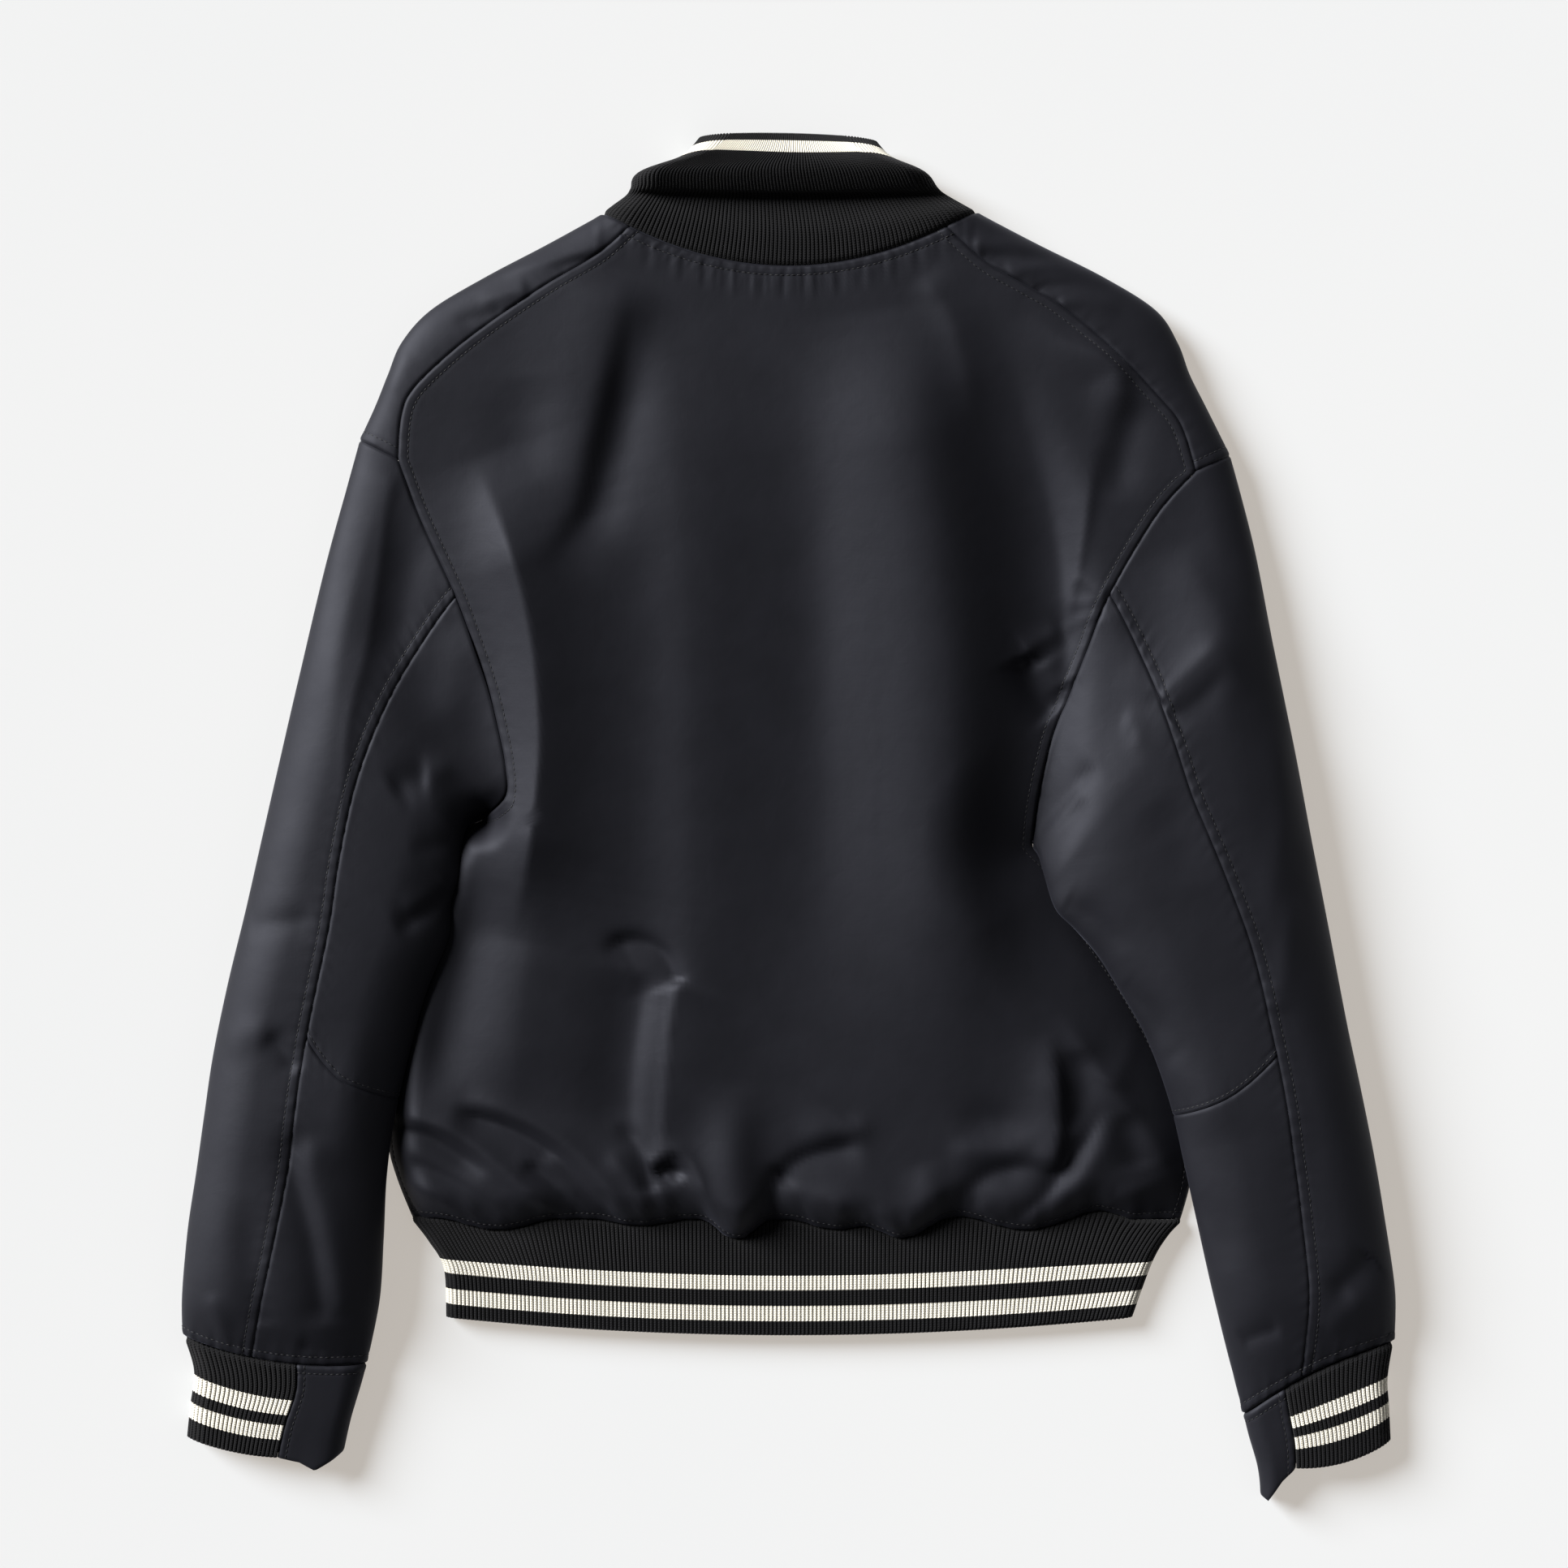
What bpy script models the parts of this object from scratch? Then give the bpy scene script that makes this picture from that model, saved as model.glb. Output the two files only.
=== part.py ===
"""Varsity jacket laid flat on its front, seen from the back.

Metres, +Z up, the collar towards +Y and the wearer's left towards -X.  The fronts lie on the
surface at z = 0, and the back, the sleeves and the knit bands lie over them.  Each piece that a
maker would cut is its own closed wall, lofted through sections and parted from its neighbours
by the seam gap.
"""
import math

import bmesh
import bpy
import numpy as np

# Driving dimensions
CLOTH = 0.0015          # shell and lining together
KNIT = 0.0026           # doubled rib knit
SEAM_GAP = 0.0006       # between two pieces that are sewn together
BODY_CROWN = 0.024      # the back above the surface
SHOULDER_EDGE = 0.011   # middle of the fold along the shoulder
SIDE_EDGE = 0.0034      # upper face of the back where it meets a front at the side
SIDE_FALL = 0.070       # width over which the back falls to the side
HEM_TOP = 0.0100        # upper face at the hem seam
HEM_FALL = 0.024        # width over which the back falls to the hem band
RIB_PITCH = 0.0026      # one rib and one groove of the knit
RIB_RELIEF = 0.0007     # height of a rib over its groove
EDGE_COLUMNS = 6        # columns left plain where a knit band turns under
INNER_STRIDE = 4        # columns of a ribbed face to each one of its plain inner face
NECK_LOW = 0.341        # lowest point of the back neckline
NECK_DROP = 0.034       # rise of the neckline at NECK_HALF
NECK_HALF = 0.1155
NECK_POINT = 0.0975     # half the distance between the shoulder points at the neck
FRONT_NECK_LOW = 0.2925
FRONT_COLLAR_TOP = 0.370
FRONT_LAP = 0.012       # the fronts overlap by twice this at the centre
LAP_LEVEL = 0.018       # half width of the level strip under the snaps
LAP_RISE = 0.046        # half width where a front starts to rise to that strip
SNAP_RADIUS = 0.0075
SNAP_HEIGHT = 0.0017
SNAP_TOP_Y = 0.262
SNAP_PITCH = 0.096
SNAP_COUNT = 6
CLEARANCE = 0.0003

# Grid counts
BACK_COLUMNS = 30
SHOULDER_ROWS = 6
SIDE_ROWS = 9
FRONT_COLUMNS = 5
UPPER_ROWS = 10
LOWER_ROWS = 8

# Finishes: colour, roughness, metallic
FINISHES = {
    "nylon": ((0.016, 0.016, 0.019), 0.45, 0.0),
    "knit": ((0.010, 0.010, 0.012), 0.90, 0.0),
    "snap": ((0.030, 0.030, 0.032), 0.35, 0.9),
}

# Half outlines of the body as (x, y), top to bottom
SHOULDER_EDGE_LINE = {
    "left": [(-0.1145, 0.3745), (-0.150, 0.355), (-0.188, 0.335), (-0.221, 0.315),
             (-0.239, 0.295), (-0.2475, 0.275), (-0.2555, 0.255), (-0.265, 0.2345)],
    "right": [(0.1165, 0.3755), (0.155, 0.3555), (0.196, 0.335), (0.2275, 0.315),
              (0.241, 0.295), (0.2485, 0.275), (0.2585, 0.255), (0.2735, 0.225)],
}
SHOULDER_SEAM_LINE = {
    "left": [(-0.0975, 0.3652), (-0.1175, 0.348), (-0.150, 0.3285), (-0.182, 0.307),
             (-0.208, 0.287), (-0.231, 0.2645), (-0.238, 0.2475), (-0.240, 0.222)],
    "right": [(0.0975, 0.3652), (0.1215, 0.3435), (0.1475, 0.3285), (0.169, 0.3155),
              (0.200, 0.290), (0.2285, 0.260), (0.242, 0.2425), (0.251, 0.2145)],
}
ARMHOLE_LINE = {
    "left": [(-0.240, 0.222), (-0.227, 0.187), (-0.2045, 0.1375), (-0.1925, 0.105),
             (-0.184, 0.080), (-0.1775, 0.0535), (-0.1735, 0.0325), (-0.1735, 0.014),
             (-0.182, -0.0045)],
    "right": [(0.251, 0.2145), (0.2265, 0.187), (0.1975, 0.138), (0.184, 0.105),
              (0.175, 0.0815), (0.1635, 0.0515), (0.154, 0.013), (0.1475, -0.018)],
}
SIDE_LINE = {
    "left": [(-0.182, -0.0045), (-0.198, -0.026), (-0.213, -0.0525), (-0.228, -0.085),
             (-0.2405, -0.125), (-0.2475, -0.165), (-0.2485, -0.200), (-0.243, -0.2225),
             (-0.233, -0.2475)],
    "right": [(0.1475, -0.018), (0.1625, -0.040), (0.1795, -0.0625), (0.2005, -0.090),
              (0.2165, -0.115), (0.2345, -0.150), (0.2455, -0.1775), (0.251, -0.200),
              (0.250, -0.225), (0.2435, -0.249)],
}

# The cloth of the back bulges over the hem band: centre, half width, drop below the straight seam
HEM_BULGES = [
    (-0.188, 0.036, 0.010),
    (-0.092, 0.030, 0.006),
    (-0.028, 0.026, 0.014),
    (0.036, 0.032, 0.009),
    (0.074, 0.030, 0.015),
    (0.146, 0.030, 0.011),
    (0.106, 0.018, -0.005),
    (0.192, 0.024, -0.008),
]

# Large folds of the back and the sleeves: start, bend and end as x, y, then width and lift
FOLDS = [
    (-0.087, 0.305, -0.118, 0.190, -0.150, 0.130, 0.024, 0.007),
    (-0.152, 0.125, -0.150, 0.040, -0.160, -0.045, 0.020, 0.009),
    (-0.108, 0.275, -0.122, 0.130, -0.135, 0.000, 0.026, -0.008),
    (-0.066, 0.315, -0.050, 0.060, -0.035, -0.195, 0.034, 0.007),
    (-0.006, 0.155, -0.006, 0.050, -0.004, -0.045, 0.020, -0.004),
    (0.045, 0.305, 0.048, 0.050, 0.050, -0.220, 0.042, 0.008),
    (0.105, 0.255, 0.125, 0.060, 0.140, -0.020, 0.030, -0.009),
    (0.120, 0.320, 0.175, 0.300, 0.200, 0.262, 0.020, 0.006),
    (0.203, 0.260, 0.202, 0.228, 0.199, 0.198, 0.016, -0.006),
    (0.192, 0.234, 0.186, 0.198, 0.180, 0.155, 0.012, 0.005),
    (0.142, 0.100, 0.158, 0.082, 0.165, 0.065, 0.014, -0.007),
    (-0.236, -0.190, -0.190, -0.200, -0.114, -0.243, 0.013, 0.006),
    (-0.176, -0.192, -0.118, -0.212, -0.077, -0.247, 0.012, 0.005),
    (-0.145, -0.212, -0.120, -0.228, -0.100, -0.244, 0.009, -0.004),
    (-0.066, -0.100, -0.073, -0.170, -0.080, -0.215, 0.012, 0.006),
    (-0.109, -0.078, -0.094, -0.072, -0.066, -0.100, 0.012, 0.004),
    (-0.082, -0.217, -0.062, -0.204, -0.049, -0.242, 0.010, -0.005),
    (-0.034, -0.195, -0.028, -0.230, -0.022, -0.262, 0.018, 0.006),
    (-0.008, -0.228, 0.004, -0.206, 0.034, -0.190, 0.013, -0.007),
    (0.058, -0.215, 0.062, -0.245, 0.072, -0.265, 0.020, 0.005),
    (0.103, -0.248, 0.118, -0.222, 0.163, -0.213, 0.012, -0.006),
    (0.204, -0.165, 0.176, -0.210, 0.135, -0.250, 0.016, 0.007),
    (0.204, -0.165, 0.222, -0.185, 0.238, -0.214, 0.014, 0.005),
    (0.165, -0.145, 0.166, -0.180, 0.164, -0.220, 0.012, -0.005),
    (-0.243, 0.020, -0.228, 0.030, -0.214, 0.026, 0.016, -0.005),
    (-0.237, -0.066, -0.222, -0.055, -0.206, -0.047, 0.010, -0.005),
    (-0.300, -0.188, -0.298, -0.240, -0.286, -0.310, 0.014, -0.004),
    (0.150, -0.014, 0.168, 0.010, 0.186, 0.032, 0.011, -0.006),
    (0.298, 0.062, 0.304, 0.010, 0.291, -0.084, 0.012, 0.004),
    (0.310, -0.045, 0.304, -0.085, 0.298, -0.120, 0.011, 0.004),
    (0.356, -0.270, 0.345, -0.281, 0.334, -0.292, 0.012, -0.005),
]

# Sleeve sections from the armhole to the cuff: outer x and y, inner x and y, how far across the
# back seam lies, the crown's height, the heights of the outer and the inner edge, and how far
# the section bows along the sleeve
SLEEVE_SECTIONS = {
    "left": [
        (-0.2650, 0.2345, -0.1820, -0.0045, 0.446, 0.028, 0.0110, 0.0045, 0.0),
        (-0.2845, 0.1625, -0.1955, -0.0070, 0.440, 0.034, 0.0120, 0.0080, 0.0),
        (-0.3015, 0.0910, -0.1995, -0.0190, 0.420, 0.038, 0.0130, 0.0130, 0.0),
        (-0.3145, 0.0340, -0.2010, -0.0340, 0.409, 0.040, 0.0140, 0.0170, 0.0),
        (-0.3250, -0.0120, -0.2075, -0.0510, 0.427, 0.041, 0.0140, 0.0180, 0.0),
        (-0.3350, -0.0560, -0.2095, -0.0730, 0.439, 0.041, 0.0140, 0.0180, 0.0),
        (-0.3460, -0.1015, -0.2230, -0.1060, 0.470, 0.041, 0.0140, 0.0180, 0.0),
        (-0.3550, -0.1450, -0.2340, -0.1460, 0.483, 0.040, 0.0140, 0.0180, 0.0),
        (-0.3605, -0.1820, -0.2425, -0.1840, 0.497, 0.040, 0.0140, 0.0180, 0.0),
        (-0.3655, -0.2175, -0.2475, -0.2200, 0.500, 0.039, 0.0140, 0.0170, 0.0),
        (-0.3710, -0.2550, -0.2495, -0.2590, 0.468, 0.038, 0.0140, 0.0160, 0.0),
        (-0.3745, -0.2950, -0.2520, -0.2965, 0.418, 0.034, 0.0130, 0.0150, -0.002),
        (-0.3745, -0.3190, -0.2605, -0.3365, 0.393, 0.022, 0.0110, 0.0110, -0.006),
    ],
    "right": [
        (0.2735, 0.2250, 0.1475, -0.0180, 0.4205, 0.028, 0.0110, 0.0045, 0.0),
        (0.2875, 0.1710, 0.1535, -0.0245, 0.430, 0.034, 0.0120, 0.0090, 0.0),
        (0.2975, 0.1200, 0.1600, -0.0430, 0.435, 0.038, 0.0130, 0.0130, 0.0),
        (0.3060, 0.0770, 0.1660, -0.0570, 0.433, 0.040, 0.0140, 0.0170, 0.0),
        (0.3140, 0.0375, 0.1775, -0.0685, 0.424, 0.041, 0.0140, 0.0180, 0.0),
        (0.3235, -0.0130, 0.1905, -0.0835, 0.402, 0.041, 0.0140, 0.0180, 0.0),
        (0.3345, -0.0700, 0.2025, -0.1025, 0.378, 0.041, 0.0140, 0.0180, 0.0),
        (0.3450, -0.1250, 0.2210, -0.1350, 0.398, 0.040, 0.0140, 0.0180, 0.0),
        (0.3535, -0.1650, 0.2350, -0.1735, 0.419, 0.040, 0.0140, 0.0180, 0.0),
        (0.3615, -0.2050, 0.2430, -0.2070, 0.439, 0.039, 0.0140, 0.0180, 0.0),
        (0.3675, -0.2400, 0.2505, -0.2400, 0.457, 0.038, 0.0140, 0.0160, 0.0),
        (0.3750, -0.2900, 0.2640, -0.3000, 0.500, 0.034, 0.0130, 0.0150, 0.002),
        (0.3750, -0.3225, 0.2815, -0.3675, 0.600, 0.022, 0.0110, 0.0110, 0.006),
    ],
}
ELBOW_ROW = {"left": (6.70, 7.67), "right": (7.37, 8.25)}   # at the back seam and the inner edge

# Cuff sections, as the sleeve's, with the seam between the knit and the cloth strip, and the
# drop of the strip's point below the line from edge to edge
CUFF_SECTIONS = {
    "left": [
        (-0.3688, -0.3211, -0.2605, -0.3365, 0.63, 0.022, 0.0110, 0.0110, -0.0054, 0.0),
        (-0.3670, -0.3410, -0.2640, -0.3490, 0.62, 0.021, 0.0100, 0.0100, -0.0065, 0.001),
        (-0.3695, -0.3625, -0.2705, -0.3710, 0.60, 0.020, 0.0095, 0.0095, -0.0065, 0.004),
        (-0.3715, -0.3815, -0.2750, -0.3910, 0.59, 0.018, 0.0090, 0.0090, -0.0065, 0.009),
    ],
    "right": [
        (0.3703, -0.3236, 0.2815, -0.3675, 0.71, 0.022, 0.0110, 0.0110, 0.0054, 0.0),
        (0.3705, -0.3450, 0.2835, -0.3770, 0.70, 0.021, 0.0100, 0.0100, 0.002, 0.005),
        (0.3715, -0.3635, 0.2870, -0.3880, 0.71, 0.020, 0.0095, 0.0095, -0.004, 0.013),
        (0.3725, -0.3835, 0.2890, -0.3965, 0.72, 0.018, 0.0090, 0.0090, -0.009, 0.023),
    ],
}

# Hem band rows from the seam to the lower edge: both side edges, the bow of the line, the height
# of the upper face, and how much of the bulging seam line the row follows
HEM_ROWS = [
    (-0.2330, -0.2475, 0.2435, -0.2490, 0.0000, 0.0100, 1.00),
    (-0.2225, -0.2610, 0.2350, -0.2580, -0.0060, 0.0115, 0.45),
    (-0.2130, -0.2780, 0.2255, -0.2740, -0.0080, 0.0120, 0.15),
    (-0.2115, -0.3080, 0.2130, -0.3080, -0.0110, 0.0105, 0.00),
]
HEM_STOPS = (0.0, 1.2, 3.0)     # rows of the hem band's mesh
HEM_NOSE = 0.0050               # height of the band's side edges
HEM_EDGE_ROUND = (0.017, 0.014) # plan width of those edges above and below, as shares
HEM_EDGE_SHARE = (0.046, 0.10)  # share of the way round that they take, above and below

# Collar rows from the neckline to the folded top edge, over the slouch at the middle: both
# side edges, the middle's y, the height, the share of the side that rounds over, its width,
# and the row's share of the way up the front
COLLAR_ROWS = [
    (-0.1145, 0.3745, 0.1165, 0.3755, 0.3410, 0.0240, 0.20, 0.0175, 0.00),
    (-0.1080, 0.3795, 0.1105, 0.3785, 0.3620, 0.0255, 0.20, 0.0170, 0.22),
    (-0.1000, 0.3855, 0.0975, 0.3860, 0.3850, 0.0210, 0.20, 0.0160, 0.42),
    (-0.0970, 0.3900, 0.0925, 0.3900, 0.3864, 0.0290, 0.20, 0.0160, 0.55),
    (-0.0930, 0.3985, 0.0850, 0.3990, 0.3985, 0.0370, 0.22, 0.0170, 0.68),
    (-0.0670, 0.4085, 0.0650, 0.4080, 0.4090, 0.0345, 0.28, 0.0180, 0.84),
    (-0.0545, 0.4215, 0.0545, 0.4190, 0.4225, 0.0220, 0.34, 0.0200, 1.00),
]
COLLAR_NOSE = 0.0110            # height of the collar's side edges
COLLAR_SIDE = (0.1155, 0.375)   # where the neckline reaches the side, x and y
COLLAR_TOP_SIDE = (0.0545, 0.421)
COLLAR_UNDER_NOSE = 0.1
FRONT_COLLAR_TURN = 0.3         # share of the collar's front half that rounds under
NECK_CORNER = 0.12              # share of that half up to the shoulder point
ARCH_FALL = 0.16                # how much a tube's crown falls towards its edges


# ---------------------------------------------------------------- curves and fields

def through(table, t):
    """Smooth curve through the rows of a table, read at the row numbers t."""
    table = np.asarray(table, float)
    last = len(table) - 1
    t = np.clip(np.asarray(t, float), 0.0, last)
    i = np.minimum(t.astype(int), last - 1)
    f = (t - i)[..., None]
    before, low, high, after = (table[np.clip(i + k, 0, last)] for k in (-1, 0, 1, 2))
    bend = 2.0 * before - 5.0 * low + 4.0 * high - after
    turn = 3.0 * (low - high) + after - before
    return low + 0.5 * f * (high - before + f * (bend + f * turn))


def dense(points, steps=160):
    """A smooth curve through a few points, as many short steps."""
    return through(points, np.linspace(0.0, len(points) - 1, steps))


def along(path, fractions):
    """Points at fractions of a path's length."""
    step = np.hypot(*np.diff(path, axis=0).T)
    length = np.concatenate([[0.0], np.cumsum(step)])
    place = np.asarray(fractions) * length[-1]
    return np.stack([np.interp(place, length, path[:, k]) for k in (0, 1)], axis=-1)


def path_length(path):
    return float(np.hypot(*np.diff(path, axis=0).T).sum())


def nearest(x, y, path):
    """Distance from points to a path, and how far along it the nearest place lies, 0 to 1."""
    point = np.stack([x, y], axis=-1)[..., None, :]
    start = path[:-1]
    run = path[1:] - start
    f = ((point - start) * run).sum(-1) / np.maximum((run * run).sum(-1), 1e-12)
    f = np.clip(f, 0.0, 1.0)
    gap = np.linalg.norm(point - start - f[..., None] * run, axis=-1)
    best = gap.argmin(axis=-1)
    share = np.take_along_axis(f, best[..., None], -1)[..., 0]
    return np.take_along_axis(gap, best[..., None], -1)[..., 0], (best + share) / len(run)


def dome(f):
    """Rises from 0 at f = 0 and is level from f = 1 on."""
    return 1.0 - (1.0 - np.clip(f, 0.0, 1.0)) ** 2


def bump(f):
    """1 at f = 0, falling softly to 0 at f = 1 and beyond."""
    return np.clip(1.0 - f * f, 0.0, None) ** 2


def step_up(f):
    """0 below 0, 1 above 1, with soft ends."""
    f = np.clip(f, 0.0, 1.0)
    return f * f * (3.0 - 2.0 * f)


def fold_path(fold):
    start, bend, end = (np.array(fold[k:k + 2]) for k in (0, 2, 4))
    f = np.linspace(0.0, 1.0, 9)[:, None]
    return start * (1 - f) ** 2 + 2 * bend * f * (1 - f) + end * f ** 2


def relief(x, y):
    """Height that the folds add at a place."""
    total = np.zeros_like(x)
    for fold in FOLDS:
        width, lift = fold[6:8]
        gap, place = nearest(x, y, fold_path(fold))
        total = total + lift * bump(gap / width) * (1.0 - (2.0 * place - 1.0) ** 4)
    return total


def neckline_y(x):
    return NECK_LOW + NECK_DROP * (x / NECK_HALF) ** 2


def front_columns(edge_x):
    """Distances of a front's columns from the centre line, before the lapped edge."""
    return np.append(np.linspace(edge_x, LAP_RISE, FRONT_COLUMNS), LAP_LEVEL)


def front_neckline_y(x):
    """The front neckline, a quarter oval on each side with its points on the front's columns."""
    node = front_columns(NECK_POINT)[::-1]
    rise = neckline_y(NECK_POINT)
    y = rise - (rise - FRONT_NECK_LOW) * np.sqrt(1.0 - (node / NECK_POINT) ** 2)
    return np.interp(np.abs(x), node, y)


def straight_hem_y(x):
    left, right = SIDE_LINE["left"][-1], SIDE_LINE["right"][-1]
    return left[1] + (right[1] - left[1]) * (x - left[0]) / (right[0] - left[0])


def bulging_hem():
    """The hem seam's nodes: the back's own columns, dropped where the cloth bulges."""
    x = np.linspace(SIDE_LINE["left"][-1][0], SIDE_LINE["right"][-1][0], BACK_COLUMNS + 1)
    drop = sum(low * bump((x - middle) / half) for middle, half, low in HEM_BULGES)
    return x, straight_hem_y(x) - drop


HEM_SEAM = bulging_hem()


def hem_seam_y(x):
    return np.interp(x, *HEM_SEAM)


SIDE_PATH = {side: dense(line, 40) for side, line in SIDE_LINE.items()}


def body_top(x, y):
    """Upper face of the back over the whole body."""
    side_gap = np.minimum(*(nearest(x, y, path)[0] for path in SIDE_PATH.values()))
    fall = dome(side_gap / SIDE_FALL)
    to_hem = dome((y - hem_seam_y(x)) / HEM_FALL)
    crown = BODY_CROWN + relief(x, y)
    return SIDE_EDGE + fall * (HEM_TOP - SIDE_EDGE + (crown - HEM_TOP) * to_hem)


def head_path(side):
    """Where the sleeve meets the body: across the shoulder's end, then down the armhole."""
    edge, corner = SHOULDER_EDGE_LINE[side][-1], ARMHOLE_LINE[side][0]
    return np.concatenate([np.linspace(edge, corner, 12)[:-1], dense(ARMHOLE_LINE[side])])


HEAD_PATH = {side: head_path(side) for side in ("left", "right")}
HEAD_CORNER = {side: math.dist(SHOULDER_EDGE_LINE[side][-1], ARMHOLE_LINE[side][0])
               / path_length(HEAD_PATH[side]) for side in ("left", "right")}


# ---------------------------------------------------------------- flattened tubes

def across(u, seam, under, top_nose, under_nose, top_share, under_share):
    """Place and lift round a flattened tube.

    u runs from the under seam (-1) over the outer edge (0), the upper seam (1) and the inner
    edge (2) back to the under seam (3).  It gives the share of the way from edge to edge, and
    the lift of the rounded edge: 0 at the edge itself, 1 on the level part.
    """
    inner = u > 1.0
    upper = (u >= 0.0) & (u <= 2.0)
    t = np.where(inner, np.abs(u - 2.0), np.abs(u))
    reach = np.where(upper, seam, under)
    reach = np.where(inner, 1.0 - reach, reach)
    nose = np.where(upper, np.where(inner, top_nose[1], top_nose[0]), under_nose)
    share = np.where(upper, np.where(inner, top_share[1], top_share[0]), under_share)
    turn = 0.5 * math.pi * np.clip(t / share, 0.0, 1.0)
    level = np.clip((t - share) / (1.0 - share), 0.0, 1.0)
    place = nose * (1.0 - np.cos(turn)) + (reach - nose) * level
    return np.where(inner, 1.0 - place, place), np.sin(turn), upper


SLEEVE_TOP_SHARE = (0.5, 0.6)
SLEEVE_UNDER_SHARE = 0.6
SLEEVE_UNDER_SEAM = 0.42
SLEEVE_NOSE = (0.28, 0.30)      # plan width of the rounded edges, as shares of the section
SLEEVE_UNDER_NOSE = 0.30
UNDERARM_EASE = 0.0022          # the sleeve stands this much over the back at the underarm
UNDERARM_REACH = 0.035
HEAD_FADE = 3.0                 # sections over which the armhole's curve fades to straight ones
CUFF_TOP_SHARE = (0.25, 0.40)
CUFF_UNDER_SHARE = 0.4
CUFF_NOSE = 0.12


def sleeve_surface(side):
    """Outer face of a sleeve as a function of u round it and v along it."""
    corner = HEAD_CORNER[side]
    underarm = ARMHOLE_LINE[side][-1]
    table = np.array(SLEEVE_SECTIONS[side])

    def surface(u, v):
        row = through(table, v)
        outer, inner = row[..., 0:2], row[..., 2:4]
        seam, crown, outer_z, inner_z, bow = (row[..., k] for k in range(4, 9))
        fade = np.clip(1.0 - v / HEAD_FADE, 0.0, 1.0) ** 2
        open_out = step_up(v / HEAD_FADE)
        nose = corner + (SLEEVE_NOSE[0] - corner) * open_out
        under_nose = corner + (SLEEVE_UNDER_NOSE - corner) * open_out
        c, k, upper = across(u, seam, SLEEVE_UNDER_SEAM, (nose, SLEEVE_NOSE[1]), under_nose,
                             SLEEVE_TOP_SHARE, SLEEVE_UNDER_SHARE)
        run = inner - outer
        plan = outer + run * c[..., None]
        head = along(HEAD_PATH[side], c)
        first = table[0, 0:2] + (table[0, 2:4] - table[0, 0:2]) * c[..., None]
        plan = plan + (head - first) * fade[..., None]
        normal = np.stack([-run[..., 1], run[..., 0]], axis=-1)
        normal = normal / np.linalg.norm(normal, axis=-1)[..., None]
        normal = normal * np.where(normal[..., 1:2] < 0.0, -1.0, 1.0)
        plan = plan + normal * (bow * 4.0 * c * (1.0 - c))[..., None]
        x, y = plan[..., 0], plan[..., 1]
        edge = outer_z + (inner_z - outer_z) * step_up(c)
        arch = crown * (1.0 - ARCH_FALL * (2.0 * c - 1.0) ** 2)
        arch = arch + relief(x, y) * step_up((12.0 - v) / 1.0) * open_out
        body = body_top(x, y)
        level = body + (arch - body) * step_up(v / 2.0)
        from_point = np.hypot(x - underarm[0], y - underarm[1])
        level = level + UNDERARM_EASE * bump(from_point / UNDERARM_REACH)
        z = np.where(upper, edge + (level - edge) * k, edge * (1.0 - k))
        return np.stack([x, y, z], axis=-1)

    return surface


def cuff_surface(side):
    """Outer face of a cuff, its knit and its cloth strip together."""
    table = np.array(CUFF_SECTIONS[side])

    def surface(u, v):
        row = through(table, v)
        outer, inner = row[..., 0:2], row[..., 2:4]
        seam, crown, outer_z, inner_z, bow, tip = (row[..., k] for k in range(4, 10))
        c, k, upper = across(u, seam, SLEEVE_UNDER_SEAM, (CUFF_NOSE, CUFF_NOSE), CUFF_NOSE,
                             CUFF_TOP_SHARE, CUFF_UNDER_SHARE)
        run = inner - outer
        normal = np.stack([-run[..., 1], run[..., 0]], axis=-1)
        normal = normal / np.linalg.norm(normal, axis=-1)[..., None]
        normal = normal * np.where(normal[..., 1:2] < 0.0, -1.0, 1.0)
        strip = np.clip((c - seam) / (1.0 - seam), 0.0, 1.0)
        drop = tip * np.sin(math.pi * strip ** 1.2)
        plan = outer + run * c[..., None]
        plan = plan + normal * (bow * 4.0 * c * (1.0 - c) - drop)[..., None]
        edge = outer_z + (inner_z - outer_z) * step_up(c)
        arch = crown * (1.0 - ARCH_FALL * (2.0 * c - 1.0) ** 2)
        z = np.where(upper, edge + (arch - edge) * k, edge * (1.0 - k))
        return np.concatenate([plan, z[..., None]], axis=-1)

    return surface


def hem_surface(u, v):
    """Outer face of the hem band."""
    row = through(HEM_ROWS, v)
    left, right = row[..., 0:2], row[..., 2:4]
    bow, lift, wave = (row[..., k] for k in (4, 5, 6))
    middle = -left[..., 0] / (right[..., 0] - left[..., 0])
    nose, under_nose = HEM_EDGE_ROUND
    share, under_share = HEM_EDGE_SHARE
    c, k, upper = across(u, 0.5, middle, (nose, nose), under_nose, (share, share), under_share)
    plan = left + (right - left) * c[..., None]
    x = plan[..., 0]
    follow = wave * np.where(upper, step_up((k - 0.5) * 2.0), 0.0)
    y = plan[..., 1] + bow * 4.0 * c * (1.0 - c) + follow * (hem_seam_y(x) - straight_hem_y(x))
    z = np.where(upper, HEM_NOSE + (lift - HEM_NOSE) * k, HEM_NOSE * (1.0 - k))
    return np.stack([x, y, z], axis=-1)


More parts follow.
